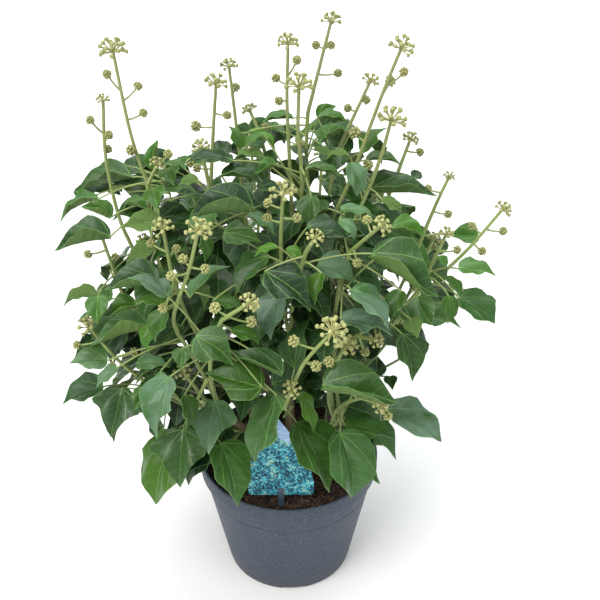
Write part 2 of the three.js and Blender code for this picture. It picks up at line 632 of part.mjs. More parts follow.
let freeLeaves = 0;
for (const [part, most] of [[behind, BEHIND_SHARE * FREE_LEAVES], [beside, FREE_LEAVES]]) {
  const spots = twigs.filter((twig) => twig.bare && part(twig));
  for (let i = 0; i < spots.length && freeLeaves < most; i++) {
    const twig = spots[(i * SPOT_STRIDE) % spots.length];
    for (let attempt = 0; attempt < LEAF_TRIES; attempt++) {
      const leaf = leafOnTwig(twig, (i + attempt * TRY_TURN) * TURN);
      if (hidesLabel(leaf) || !addLeaf(leaf, SHORTEST_PETIOLE, FREE_REACH)) continue;
      freeLeaves++;
      break;
    }
  }
}

// A closed skin from points and triangles
function solidOf(geometry) {
  const bare = geometry.index ? geometry.toNonIndexed() : geometry.clone();
  bare.deleteAttribute("normal");
  bare.deleteAttribute("uv");
  const merged = mergeVertices(bare, WELD);
  return new wasm.Manifold(
    new wasm.Mesh({
      numProp: 3,
      vertProperties: merged.attributes.position.array,
      triVerts: new Uint32Array(merged.index.array),
    }),
  );
}

function geometryOf(points, triangles) {
  const geometry = new THREE.BufferGeometry();
  geometry.setAttribute("position", new THREE.BufferAttribute(new Float32Array(points.flat()), 3));
  geometry.setIndex(triangles.flat());
  return geometry;
}

const solid = (points, triangles) => solidOf(geometryOf(points, triangles));
const WELD = 1e-4;

// One solid of many, without the needless corners that joining leaves on flat faces
const FLATNESS = 0.02;
function joined(pieces) {
  const bodies = wasm.Manifold.union(pieces).decompose();
  return bodies.reduce((a, b) => (a.volume() > b.volume() ? a : b)).simplify(FLATNESS);
}

function meshOf(name, shape, material) {
  const { vertProperties, triVerts } = shape.getMesh();
  const geometry = new THREE.BufferGeometry();
  geometry.setAttribute("position", new THREE.BufferAttribute(new Float32Array(vertProperties), 3));
  geometry.setIndex(new THREE.BufferAttribute(new Uint32Array(triVerts), 1));
  geometry.computeVertexNormals();
  const mesh = new THREE.Mesh(geometry, material);
  mesh.name = name;
  return mesh;
}

// A tube of few sides along a path, from one radius to another. The last end can be cut square to
// a given direction.
function tube({ path, from, to, arrival }, sides) {
  const points = [];
  const triangles = [];
  let over = [0.31, 0.17, 0.93];
  path.forEach((place, i) => {
    const before = i > 0 ? unit(minus(place, path[i - 1])) : null;
    const after = i < path.length - 1 ? unit(minus(path[i + 1], place)) : null;
    const onward = after ?? (arrival ? plus([0, 0, 0], arrival, -1) : before);
    const along = before && after ? unit(plus(before, after)) : onward;
    over = unit(plus(over, along, -dot(over, along)));
    const side = cross(along, over);
    const radius = from + ((to - from) * i) / (path.length - 1);
    for (let k = 0; k < sides; k++) {
      const turn = (2 * Math.PI * k) / sides;
      points.push(plus(plus(place, over, radius * Math.cos(turn)), side, radius * Math.sin(turn)));
    }
    if (i === 0) return;
    for (let k = 0; k < sides; k++) {
      const [a, b] = [(i - 1) * sides + k, (i - 1) * sides + ((k + 1) % sides)];
      triangles.push([a, b, b + sides], [a, b + sides, a + sides]);
    }
  });
  const last = points.length - sides;
  for (let k = 1; k < sides - 1; k++) triangles.push([0, k + 1, k], [last, last + k, last + k + 1]);
  return solid(points, triangles);
}

// A leaf: a folded and arched blade, with a petiole of three sides that grows out of its base
const SIN_60 = Math.sin(Math.PI / 3);
const MIDDLE = 0.38; // where on the midrib the faces meet

function leafSolid(leaf) {
  const half = [[0, BASE_HALF / leaf.half], ...FORMS[leaf.form]];
  if (leaf.plain) half.splice(1, 1);
  const places = [...half, [1, 0], ...half.map(([t, x]) => [t, -x]).reverse(), [MIDDLE, 0]];
  const count = places.length;
  const [last, heart] = [count - 2, count - 1];
  const middle = places.map(([t, x]) => onBlade(leaf, t, x));
  const points = [
    ...middle.map((place) => plus(place, leaf.normal, BLADE_THICKNESS / 2)),
    ...middle.map((place) => plus(place, leaf.normal, -BLADE_THICKNESS / 2)),
  ];
  const triangles = [[last, 0, heart], [count + heart, count, count + last]];
  for (let i = 0; i < last; i++) {
    triangles.push([i, i + 1, heart], [count + heart, count + i + 1, count + i]);
    triangles.push([i, i + count, i + 1 + count], [i, i + 1 + count, i + 1]);
  }
  const back = unit(minus(leaf.base, leaf.root));
  const over = unit(plus(leaf.normal, back, -dot(leaf.normal, back)));
  const side = cross(back, over);
  const low = plus(leaf.root, over, -PETIOLE_RADIUS / 2);
  points.push(plus(leaf.root, over, PETIOLE_RADIUS));
  points.push(plus(low, side, -PETIOLE_RADIUS * SIN_60), plus(low, side, PETIOLE_RADIUS * SIN_60));
  const [up, left, right] = [2 * count, 2 * count + 1, 2 * count + 2];
  triangles.push([last, last + count, left], [last, left, up], [last + count, count, right]);
  triangles.push([last + count, right, left], [count, 0, up], [count, up, right], [0, last, up]);
  triangles.push([up, left, right]);
  return solid(points, triangles);
}

// An umbel on its axis: a small core whose faces are drawn out as widening clubs, and whose lowest
// face is drawn out as the axis
function umbelSolid(path, radius, openness) {
  const centre = path[0];
  const core = new THREE.IcosahedronGeometry(radius * UMBEL_CORE, 0);
  const corners = core.attributes.position;
  const lowest = new THREE.Vector3();
  for (let i = 0; i < 3; i++) lowest.add(new THREE.Vector3().fromBufferAttribute(corners, i));
  const down = unit(minus(path[1], centre));
  core.applyQuaternion(
    new THREE.Quaternion().setFromUnitVectors(lowest.normalize(), new THREE.Vector3(...down)),
  );
  const points = [];
  const triangles = [];
  const drawOut = (start) => {
    for (const [a, b] of [[0, 1], [1, 2], [2, 0]]) {
      triangles.push([start + a, start + b, start + b + 3], [start + a, start + b + 3, start + a + 3]);
    }
  };
  for (let face = 0; face < corners.count; face += 3) {
    const ring = [0, 1, 2].map((i) => new THREE.Vector3().fromBufferAttribute(corners, face + i).toArray());
    const out = unit(plus(plus(ring[0], ring[1]), ring[2]));
    const spread = ring.map((corner) => plus(corner, out, -dot(ring[0], out)));
    const start = points.length;
    points.push(...ring.map((corner) => plus(centre, corner)));
    if (face === 0) {
      const slim = STALK_TOP / length(spread[0]);
      path.slice(1).forEach((place, i) => {
        const after = path[i + 2] ?? plus(place, minus(place, path[i]));
        const along = unit(plus(unit(minus(place, path[i])), unit(minus(after, place))));
        const grow = slim * (1 + ((SPIKE_RADIUS / STALK_TOP - 1) * (i + 1)) / (path.length - 1));
        points.push(...spread.map((corner) => plus(place, plus(corner, along, -dot(corner, along)), grow)));
        drawOut(start + 3 * i);
      });
      const end = start + 3 * (path.length - 1);
      triangles.push([end, end + 1, end + 2]);
    } else if (dot(out, down) > openness) {
      triangles.push([start, start + 1, start + 2]);
    } else {
      points.push(...spread.map((corner) => plus(plus(centre, out, radius), corner, CLUB_WIDTH)));
      drawOut(start);
      triangles.push([start + 3, start + 4, start + 5]);
    }
  }
  return solid(points, triangles);
}

// A side head: a faceted ball on a thin stalk, as rings of three corners, each turned against the
// one before: [height over the ball's radius, radius of the ring over that of the ball]
const HEAD_RINGS = [[-0.45, 0.95], [0.35, 1], [0.9, 0.5]];

function sideHeadSolid({ centre, root, radius }) {
  const rise = unit(minus(centre, root));
  const over = unit(cross(rise, [0.37, 0.21, 0.9]));
  const side = cross(rise, over);
  const neck = plus(centre, rise, -0.9 * radius);
  const rings = [
    [root, STALK_RADIUS], [neck, STALK_RADIUS],
    ...HEAD_RINGS.map(([height, wide]) => [plus(centre, rise, height * radius), wide * radius]),
  ];
  const points = rings.flatMap(([place, reach], i) =>
    [0, 1, 2].map((k) => {
      const turn = ((2 * k + Math.max(0, i - 1)) * Math.PI) / 3;
      return plus(plus(place, over, reach * Math.cos(turn)), side, reach * Math.sin(turn));
    }),
  );
  const triangles = [[2, 1, 0]];
  for (let ring = 0; ring < rings.length - 1; ring++) {
    for (let k = 0; k < 3; k++) {
      const [a, b] = [3 * ring + k, 3 * ring + ((k + 1) % 3)];
      triangles.push([a, b, a + 3], [b, b + 3, a + 3]);
    }
  }
  const top = points.length - 3;
  triangles.push([top, top + 1, top + 2]);
  return solid(points, triangles);
}

const material = (color, roughness) =>
  new THREE.MeshStandardMaterial({ color, roughness, metalness: 0 });
const potPlastic = material(0x565e68, 0.5);
const peat = material(0x33241b, 1);
const labelCard = material(0x58a9c2, 0.4);
const leafGreen = material(0x35592c, 0.45);
const spikeGreen = material(0xa8b060, 0.65);

// Pot: turned profile, with drain holes and a notch at the foot
const INNER_FOOT = FOOT_RADIUS - POT_WALL;
const INNER_RIM = RIM_RADIUS - RIM_WALL;
const innerRadius = (height) =>
  INNER_FOOT + ((INNER_RIM - INNER_FOOT) * (height - POT_FLOOR)) / (POT_HEIGHT - POT_FLOOR);

function turned(outline) {
  const geometry = new THREE.LatheGeometry(outline.map(([x, y]) => new THREE.Vector2(x, y)), POT_SIDES);
  return geometry.rotateX(Math.PI / 2);
}

const collarFoot = POT_HEIGHT - COLLAR_HEIGHT;
let pot = solidOf(
  turned([
    [0, 0], [FOOT_RADIUS - POT_EDGE, 0], [FOOT_RADIUS, POT_EDGE],
    [RIM_RADIUS - COLLAR_STEP, collarFoot - POT_EDGE], [RIM_RADIUS, collarFoot],
    [RIM_RADIUS, POT_HEIGHT - POT_EDGE], [RIM_RADIUS - POT_EDGE, POT_HEIGHT],
    [INNER_RIM, POT_HEIGHT], [INNER_FOOT, POT_FLOOR], [0, POT_FLOOR],
  ]),
);
for (let i = 0; i < DRAIN_HOLES; i++) {
  const turn = ((i + 0.5) * 2 * Math.PI) / DRAIN_HOLES;
  const hole = new THREE.CylinderGeometry(DRAIN_RADIUS, DRAIN_RADIUS, 4 * POT_FLOOR, DRAIN_SIDES);
  hole.rotateX(Math.PI / 2).translate(DRAIN_RING * Math.cos(turn), DRAIN_RING * Math.sin(turn), 0);
  pot = pot.subtract(solidOf(hole));
}
const notch = new THREE.BoxGeometry(NOTCH[0], NOTCH[1], 2 * NOTCH[2]).translate(NOTCH_X, -FOOT_RADIUS, 0);
pot = pot.subtract(solidOf(notch));

// Soil: fills the pot, with a rough top and a plain hole for each stem and for the stake
const SOIL_FOOT = POT_FLOOR + FIT_GAP;
const soilBlock = turned([
  [0, SOIL_FOOT], [innerRadius(SOIL_FOOT) - SOIL_GAP, SOIL_FOOT],
  [innerRadius(SOIL_HEIGHT) - SOIL_GAP, SOIL_HEIGHT], [SOIL_RING, SOIL_HEIGHT], [0, SOIL_HEIGHT],
]);
const soilCorners = soilBlock.attributes.position;
for (let i = 0; i < soilCorners.count; i++) {
  const [x, y, z] = [soilCorners.getX(i), soilCorners.getY(i), soilCorners.getZ(i)];
  if (z < SOIL_HEIGHT - 1 || Math.hypot(x, y) > SOIL_RING + 1) continue;
  const wave = Math.sin(x / SOIL_WAVES[0] + 1) * Math.cos(y / SOIL_WAVES[1]);
  soilCorners.setZ(i, z + SOIL_RELIEF * wave);
}
let soil = solidOf(soilBlock);

// Label: a card with a pointed arch on a flat stake, leaning back
const ARCH_SEGMENTS = 4;
const half = LABEL_WIDTH / 2;
const [rightArch, leftArch] = LABEL_ARCHES;
const cardShape = new THREE.Shape();
cardShape.moveTo(LABEL_CORNER - half, 0);
cardShape.lineTo(half - LABEL_CORNER, 0);
cardShape.quadraticCurveTo(half, 0, half, LABEL_CORNER);
cardShape.lineTo(half, LABEL_SHOULDER);
cardShape.quadraticCurveTo(...rightArch, LABEL_TIP, LABEL_HEIGHT);
cardShape.quadraticCurveTo(...leftArch, -half, LABEL_SHOULDER);
cardShape.lineTo(-half, LABEL_CORNER);
cardShape.quadraticCurveTo(-half, 0, LABEL_CORNER - half, 0);
const card = new THREE.ExtrudeGeometry(cardShape, {
  bevelEnabled: false,
  curveSegments: ARCH_SEGMENTS,
  depth: LABEL_THICKNESS,
});
const leaning = (geometry) => solidOf(geometry.rotateX(Math.PI / 2 - LABEL_LEAN).translate(...LABEL_FOOT));

// The stake, or with a gap the slot that it stands in
function stake(gap) {
  const bar = new THREE.BoxGeometry(STAKE_WIDTH + gap, STAKE_LENGTH + STAKE_LAP, STAKE_THICKNESS + gap);
  return leaning(bar.translate(0, (STAKE_LAP - STAKE_LENGTH - gap) / 2, LABEL_THICKNESS / 2));
}

const label = leaning(card).add(stake(0));
soil = soil.subtract(stake(2 * FIT_GAP));

// Stems stand in the soil in holes a little wider and deeper than they are.
const HOLE_GROWTH = 1.5 * FIT_GAP;
const group = new THREE.Group();
for (const stem of stems) {
  const [trunk, ...branches] = stem.tubes;
  const path = [plus(trunk.path[0], [0, 0, -FIT_GAP]), ...trunk.path.slice(1)];
  const hole = { path, from: trunk.from + HOLE_GROWTH, to: trunk.to + HOLE_GROWTH };
  soil = soil.subtract(tube(hole, TRUNK_SIDES));
  const pieces = [tube(trunk, TRUNK_SIDES), ...branches.map((branch) => tube(branch, BRANCH_SIDES))];
  pieces.push(...stem.leaves.filter((leaf) => !leaf.small).map(leafSolid));
  group.add(meshOf(stem.name, joined(pieces), leafGreen));
}
for (const { name, axis, radius, sideHeads } of standing) {
  const umbel = umbelSolid(axis, radius, radius > FULL_FROM ? FULL_UMBEL : HALF_UMBEL);
  group.add(meshOf(name, joined([umbel, ...sideHeads.map(sideHeadSolid)]), spikeGreen));
}
group.add(meshOf("pot", pot, potPlastic));
group.add(meshOf("soil", soil, peat));
group.add(meshOf("plant_label", label, labelCard));

export default group;
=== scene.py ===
# A tree ivy in a nursery pot: the bushy adult form of ivy, in bud, with its soil and its plant label.
# Metres, +Z up, the label's side faces -Y. Lengths of the plant are worked out in millimetres.

import math
from types import SimpleNamespace

import bpy
import numpy as np
from mathutils import Matrix, Vector, noise


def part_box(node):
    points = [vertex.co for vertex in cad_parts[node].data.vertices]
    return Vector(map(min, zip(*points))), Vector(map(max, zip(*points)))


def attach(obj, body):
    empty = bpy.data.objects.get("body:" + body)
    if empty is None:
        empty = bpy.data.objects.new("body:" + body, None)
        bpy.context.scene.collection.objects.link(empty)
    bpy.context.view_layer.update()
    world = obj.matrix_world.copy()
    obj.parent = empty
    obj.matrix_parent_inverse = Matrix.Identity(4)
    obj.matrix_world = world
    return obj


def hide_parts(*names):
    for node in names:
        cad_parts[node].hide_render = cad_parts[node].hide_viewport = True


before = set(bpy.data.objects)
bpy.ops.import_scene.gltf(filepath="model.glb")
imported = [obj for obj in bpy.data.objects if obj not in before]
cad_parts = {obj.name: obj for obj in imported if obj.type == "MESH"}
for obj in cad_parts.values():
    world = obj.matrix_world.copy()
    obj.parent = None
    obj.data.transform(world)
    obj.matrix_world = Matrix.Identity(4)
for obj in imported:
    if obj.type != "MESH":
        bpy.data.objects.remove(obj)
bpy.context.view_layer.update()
MM = 0.001


# Pot: a round blow-moulded nursery pot of slate grey recycled plastic. It has a rolled collar at the
# rim, a faint parting line under it, four drain holes in the underside and a drain notch at the foot.
POT_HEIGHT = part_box("pot")[1].z / MM
RIM_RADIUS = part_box("pot")[1].x / MM
RIM_WALL = 3
POT_WALL = 2.5
POT_FLOOR = 3
FOOT_RADIUS = 68
COLLAR_HEIGHT = 17
COLLAR_STEP = 3.2
POT_SIDES = 144
PARTING_HEIGHT = 107
DRAIN_HOLES = 4
DRAIN_RADIUS = 5
DRAIN_RING = 46
NOTCH_SIZE = (24, 12, 4.8)
NOTCH_X = 4
DENT = (-62, -64, 84)
DENT_RADIUS = 4
DENT_DEPTH = 1.2
COLLAR_FOOT = POT_HEIGHT - COLLAR_HEIGHT
UNDER_COLLAR = RIM_RADIUS - COLLAR_STEP
INNER_RIM = RIM_RADIUS - RIM_WALL
INNER_FOOT = FOOT_RADIUS - POT_WALL
# How the wall runs outwards and up over the parting line and at the collar's foot, and inwards and down
# at the rim
PARTING_LINE = [(0, -0.8), (-0.35, 0), (0.25, 0.7)]
COLLAR_LINE = [(0, -2), (0.5, -1.2), (2.3, -0.7), (3, 0.2)]
RIM_LINE = [(0.1, 14), (0, 8), (0, 2.2), (0.4, 0.8), (1.2, 0), (2.2, 0)]


def only(piece):
    """Selects one object alone and makes it the active one."""
    bpy.ops.object.select_all(action="DESELECT")
    piece.select_set(True)
    bpy.context.view_layer.objects.active = piece


def applied(piece, kind, **settings):
    """Adds a modifier to a piece and applies it."""
    only(piece)
    modifier = piece.modifiers.new(kind.title(), kind)
    for key, value in settings.items():
        setattr(modifier, key, value)
    bpy.ops.object.modifier_apply(modifier=modifier.name)


def smoothed(piece, degrees):
    """Shades a piece smooth where its faces meet at less than an angle."""
    only(piece)
    bpy.ops.object.shade_smooth_by_angle(angle=math.radians(degrees))


def turned(name, sides, rings, size=MM):
    """A round closed form, drawn up from a disc through rings of (radius, height)."""
    bpy.ops.object.select_all(action="DESELECT")
    radius, height = rings[0]
    bpy.ops.mesh.primitive_circle_add(
        vertices=sides, radius=radius * size, fill_type="NGON", location=(0, 0, height * size)
    )
    form = bpy.context.object
    form.name = name
    bpy.ops.object.transform_apply(location=True, rotation=True, scale=True)
    bpy.ops.object.mode_set(mode="EDIT")
    bpy.ops.mesh.select_all(action="SELECT")
    for next_radius, next_height in rings[1:]:
        rise = (next_height - height) * size
        bpy.ops.mesh.extrude_region_move(TRANSFORM_OT_translate={"value": (0, 0, rise)})
        share = next_radius / radius
        bpy.ops.transform.resize(value=(share, share, 1), center_override=(0, 0, 0))
        radius, height = next_radius, next_height
    bpy.ops.mesh.select_all(action="SELECT")
    bpy.ops.mesh.normals_make_consistent(inside=False)
    bpy.ops.object.mode_set(mode="OBJECT")
    return form


def side_radius(height):
    """The outer radius of the pot's wall under its collar."""
    return FOOT_RADIUS + (UNDER_COLLAR - FOOT_RADIUS) * height / COLLAR_FOOT


# Outwards over the underside, up the wall, over the rim and down the inside to the floor
pot_rings = [(DRAIN_RING - 12, 1.2), (DRAIN_RING + 12, 1.2), (FOOT_RADIUS - 6, 0.9), (FOOT_RADIUS - 3, 0)]
pot_rings += [(FOOT_RADIUS - 1.2, 0.1), (FOOT_RADIUS - 0.2, 1), (FOOT_RADIUS + 0.1, 2.2)]
pot_rings += [(side_radius(height), height) for height in range(6, 104, 4)]
pot_rings += [(side_radius(PARTING_HEIGHT) + out, PARTING_HEIGHT + up) for out, up in PARTING_LINE]
pot_rings += [(side_radius(height) + 0.1, height) for height in (112, 117, 121)]
pot_rings += [(UNDER_COLLAR + out, COLLAR_FOOT + up) for out, up in COLLAR_LINE]
pot_rings += [(RIM_RADIUS - inwards, POT_HEIGHT - down) for inwards, down in RIM_LINE]
pot_rings += [(INNER_RIM, POT_HEIGHT - 0.8), (INNER_RIM - 0.3, POT_HEIGHT - 3)]
pot_rings += [(INNER_FOOT + 1, POT_FLOOR + 1), (INNER_FOOT - 1, POT_FLOOR), (4, POT_FLOOR)]
pot = turned("nursery_pot", POT_SIDES, pot_rings)

for i in range(DRAIN_HOLES):
    turn = (i + 0.5) * 2 * math.pi / DRAIN_HOLES
    place = (DRAIN_RING * math.cos(turn) * MM, DRAIN_RING * math.sin(turn) * MM, 0)
    bpy.ops.mesh.primitive_cylinder_add(
        vertices=24, radius=DRAIN_RADIUS * MM, depth=4 * POT_FLOOR * MM, location=place
    )
    cutter = bpy.context.object
    applied(pot, "BOOLEAN", operation="DIFFERENCE", object=cutter)
    bpy.data.objects.remove(cutter)
bpy.ops.mesh.primitive_cube_add(size=1, location=(NOTCH_X * MM, -FOOT_RADIUS * MM, 0))
cutter = bpy.context.object
cutter.scale = [side * MM for side in NOTCH_SIZE]
bpy.ops.object.transform_apply(location=False, rotation=False, scale=True)
applied(cutter, "BEVEL", width=2 * MM, segments=4)
applied(pot, "BOOLEAN", operation="DIFFERENCE", object=cutter)
bpy.data.objects.remove(cutter)

# A small dent on the left, where the pot has been knocked
for vertex in pot.data.vertices:
    away = (vertex.co - Vector(DENT) * MM).length / (DENT_RADIUS * MM)
    if away < 3:
        inwards = Vector((vertex.co.x, vertex.co.y, 0)).normalized()
        vertex.co -= inwards * DENT_DEPTH * MM * math.exp(-away * away)
smoothed(pot, 38)


def material(name, roughness):
    """An empty node material with its shader, and its nodes and links."""
    made = bpy.data.materials.new(name)
    made.use_nodes = True
    nodes, links = made.node_tree.nodes, made.node_tree.links
    shader = nodes["Principled BSDF"]
    shader.inputs["Roughness"].default_value = roughness
    return made, nodes, links, shader


def node(nodes, links, kind, inputs=None, **settings):
    """Adds a shader node. Inputs are plain values or the sockets that feed them."""
    made = nodes.new(kind)
    for key, value in settings.items():
        setattr(made, key, value)
    for key, value in (inputs or {}).items():
        if isinstance(value, bpy.types.NodeSocket):
            links.new(value, made.inputs[key])
        else:
            made.inputs[key].default_value = value
    return made


def maths(nodes, links, operation, *values):
    """The result of a Math node."""
    inputs = dict(enumerate(values))
    return node(nodes, links, "ShaderNodeMath", inputs, operation=operation).outputs[0]


def ranged(nodes, links, value, low, high, first, last):
    """What goes from first to last while a value goes from low to high."""
    inputs = {"Value": value, 1: low, 2: high, 3: first, 4: last}
    return node(nodes, links, "ShaderNodeMapRange", inputs).outputs[0]


def ramp(nodes, links, value, stops, interpolation="LINEAR"):
    """The colours of a ramp that a value runs through. Its stops are (position, colour)."""
    made = node(nodes, links, "ShaderNodeValToRGB", {"Fac": value})
    made.color_ramp.interpolation = interpolation
    elements = made.color_ramp.elements
    for i, (position, colour) in enumerate(stops):
        element = elements[i] if i < 2 else elements.new(position)
        element.position = position
        element.color = colour
    return made.outputs["Color"]


def relief(nodes, links, shader, height, strength, depth):
    """Raises a finish by a height, up to a depth in metres."""
    inputs = {"Strength": strength, "Distance": depth, "Height": height}
    bump = node(nodes, links, "ShaderNodeBump", inputs)
    links.new(bump.outputs["Normal"], shader.inputs["Normal"])


def blend_colours(nodes, links, share, first, second):
    """A colour between two, the second in full where the share is 1."""
    made = nodes.new("ShaderNodeMix")
    made.data_type = "RGBA"
    for socket, value in ((made.inputs[0], share), (made.inputs[6], first), (made.inputs[7], second)):
        if isinstance(value, bpy.types.NodeSocket):
            links.new(value, socket)
        else:
            socket.default_value = value
    return made.outputs[2]


def grain_group():
    """Shared effect: a fine mottle, pale specks and their relief, at scales given per metre."""
    group = bpy.data.node_groups.new("grain_and_specks", "ShaderNodeTree")
    sockets = group.interface
    sockets.new_socket("Place", in_out="INPUT", socket_type="NodeSocketVector")
    for name in ("Mottle Scale", "Speck Scale", "Speck Size"):
        sockets.new_socket(name, in_out="INPUT", socket_type="NodeSocketFloat")
    for name in ("Mottle", "Specks", "Height"):
        sockets.new_socket(name, in_out="OUTPUT", socket_type="NodeSocketFloat")
    nodes, links = group.nodes, group.links
    given = nodes.new("NodeGroupInput")
    put = nodes.new("NodeGroupOutput")
    place = given.outputs["Place"]
    mottle = node(
        nodes, links, "ShaderNodeTexNoise",
        {"Vector": place, "Scale": given.outputs["Mottle Scale"], "Detail": 5.0, "Roughness": 0.6},
    )
    cells = node(
        nodes, links, "ShaderNodeTexVoronoi", {"Vector": place, "Scale": given.outputs["Speck Scale"]}
    )
    spread = maths(nodes, links, "MULTIPLY", cells.outputs["Color"], given.outputs["Speck Size"])
    specks = ranged(nodes, links, cells.outputs["Distance"], spread, 0.0, 0.0, 1.0)
    links.new(mottle.outputs["Fac"], put.inputs["Mottle"])
    links.new(specks, put.inputs["Specks"])
    links.new(maths(nodes, links, "ADD", mottle.outputs["Fac"], specks), put.inputs["Height"])
    return group


GRAIN = grain_group()


def grain(nodes, links, place, mottle_scale, speck_scale, speck_size):
    """Puts the shared grain in a material."""
    made = nodes.new("ShaderNodeGroup")
    made.node_tree = GRAIN
    links.new(place, made.inputs["Place"])
    made.inputs["Mottle Scale"].default_value = mottle_scale
    made.inputs["Speck Scale"].default_value = speck_scale
    made.inputs["Speck Size"].default_value = speck_size
    return made


slate, nodes, links, shader = material("slate_plastic", 0.52)
shader.inputs["Specular IOR Level"].default_value = 0.32
place = node(nodes, links, "ShaderNodeTexCoord").outputs["Object"]
surface = grain(nodes, links, place, 60.0, 420.0, 0.36)
scuffs = node(
    nodes, links, "ShaderNodeTexNoise", {"Vector": place, "Scale": 17.0, "Detail": 7.0, "Roughness": 0.7}
).outputs["Fac"]
tone = ramp(nodes, links, scuffs, [(0.3, (0.026, 0.037, 0.058, 1)), (0.72, (0.043, 0.06, 0.09, 1))])
fine = node(nodes, links, "ShaderNodeTexNoise", {"Vector": place, "Scale": 900.0, "Detail": 2.0})
powdery = ranged(nodes, links, fine.outputs["Fac"], 0.46, 0.66, 0.0, 0.55)
dusted = blend_colours(nodes, links, powdery, tone, (0.11, 0.13, 0.16, 1))
specked = blend_colours(nodes, links, surface.outputs["Specks"], dusted, (0.3, 0.32, 0.34, 1))
height = node(nodes, links, "ShaderNodeSeparateXYZ", {"Vector": place}).outputs["Z"]
near_foot = ranged(nodes, links, height, 0.03, 0.0, 0.0, 0.2)
dusty = blend_colours(nodes, links, near_foot, specked, (0.13, 0.115, 0.1, 1))
links.new(dusty, shader.inputs["Base Color"])
links.new(ranged(nodes, links, scuffs, 0.3, 0.7, 0.44, 0.62), shader.inputs["Roughness"])
relief(nodes, links, shader, surface.outputs["Height"], 0.35, 0.0004)
pot.data.materials.append(slate)
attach(pot, "root")
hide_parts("pot")


# Soil: dark potting peat that fills the pot, pressed by hand and rough on top, with chips of bark and
# straw fibres in it. The stems and the label's stake stand in it.
SOIL_HEIGHT = 133
SOIL_GAP = 0.4
SOIL_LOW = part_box("soil")[0].z / MM
SOIL_RELIEF = 2.2
SOIL_WAVES = (11, 13)
SOIL_SIDES = 96
CRUMB_RELIEF = 2.6
CRUMB_WIDTH = 9
SOIL_FLAT = 84  # it swells ever less towards this radius
CHIPS = 170
CHIP_LONG = (2, 9)
CHIP_WIDE = (1.2, 3.6)
CHIP_THICK = (0.5, 1.4)
CHIP_ROLL = (-0.5, 0.5)
CHIP_PITCH = (-0.4, 0.4)
FIBRES = 150
FIBRE_LONG = (5, 20)
FIBRE_BEND = (-0.4, 0.4)
FIBRE_RUNS = 5
FIBRE_RADIUS = 0.28


def inner_radius(height):
    """The radius of the pot's inside at a height."""
    return INNER_FOOT + (INNER_RIM - INNER_FOOT) * (height - POT_FLOOR) / (POT_HEIGHT - POT_FLOOR)


def soil_top(x, y):
    """The height of the soil at a place, with its swells and crumbs."""
    fade = min(1, max(0, (SOIL_FLAT - math.hypot(x, y)) / 30))
    swell = SOIL_RELIEF * math.sin(x / SOIL_WAVES[0] + 1) * math.cos(y / SOIL_WAVES[1]) * fade
    crumbs = noise.fractal(Vector((x, y, 0)) / CRUMB_WIDTH, 0.7, 2.1, 5) * CRUMB_RELIEF
    return SOIL_HEIGHT + swell + crumbs


edge = inner_radius(SOIL_HEIGHT) - SOIL_GAP
soil_rings = [(inner_radius(SOIL_LOW) - SOIL_GAP, SOIL_LOW), (edge, SOIL_HEIGHT)]
soil_rings += [(edge * share, SOIL_HEIGHT) for share in np.linspace(0.98, 0.03, 46)]
soil = turned("potting_soil", SOIL_SIDES, soil_rings)
for vertex in soil.data.vertices:
    x, y, z = vertex.co / MM
    if z > SOIL_HEIGHT - 1:
        vertex.co.z = soil_top(x, y) * MM
only(soil)
bpy.ops.object.shade_smooth()

# The same draws and the same noise come out each time. The plant's own draws start anew further down.
litter = np.random.default_rng(7)
noise.seed_set(7)


def litter_place():
    """A place on the soil, drawn evenly over it."""
    out = (edge - 3) * math.sqrt(litter.uniform(0, 1))
    swing = litter.uniform(0, 2 * math.pi)
    return out * math.cos(swing), out * math.sin(swing)


def joined(name, parts):
    """One object of many, named after the whole."""
    bpy.ops.object.select_all(action="DESELECT")
    for part in parts:
        part.select_set(True)
    bpy.context.view_layer.objects.active = parts[0]
    bpy.ops.object.join()
    parts[0].name = name
    parts[0].data.name = name
    return parts[0]


def copied(pattern, matrix):
    """A copy of a modelled piece with a mesh of its own, put in place."""
    copy = bpy.data.objects.new(pattern.name, pattern.data.copy())
    copy.data.transform(matrix)
    bpy.context.scene.collection.objects.link(copy)
    return copy


bpy.ops.object.select_all(action="DESELECT")
bpy.ops.mesh.primitive_cube_add(size=1)
chip = bpy.context.object
chip.name = "bark_chip"
bpy.ops.object.mode_set(mode="EDIT")
bpy.ops.mesh.subdivide(number_cuts=1)
bpy.ops.object.mode_set(mode="OBJECT")
for vertex in chip.data.vertices:
    vertex.co += noise.noise_vector(vertex.co * 2.3 + Vector((4, 1, 7))) * 0.22
bark = []
for i in range(CHIPS):
    x, y = litter_place()
    long, wide, thick = (litter.uniform(*span) for span in (CHIP_LONG, CHIP_WIDE, CHIP_THICK))
    tilt = Matrix.Rotation(litter.uniform(*CHIP_ROLL), 4, "X")
    tilt = tilt @ Matrix.Rotation(litter.uniform(*CHIP_PITCH), 4, "Y")
    spin = Matrix.Rotation(litter.uniform(0, math.pi), 4, "Z")
    sized = Matrix.Diagonal((long * MM, wide * MM, thick * MM, 1))
    lift = Matrix.Translation(Vector((x, y, soil_top(x, y) + thick * 0.3)) * MM)
    bark.append(copied(chip, lift @ spin @ tilt @ sized))
bpy.data.objects.remove(chip)
bark = joined("bark_chips", bark)

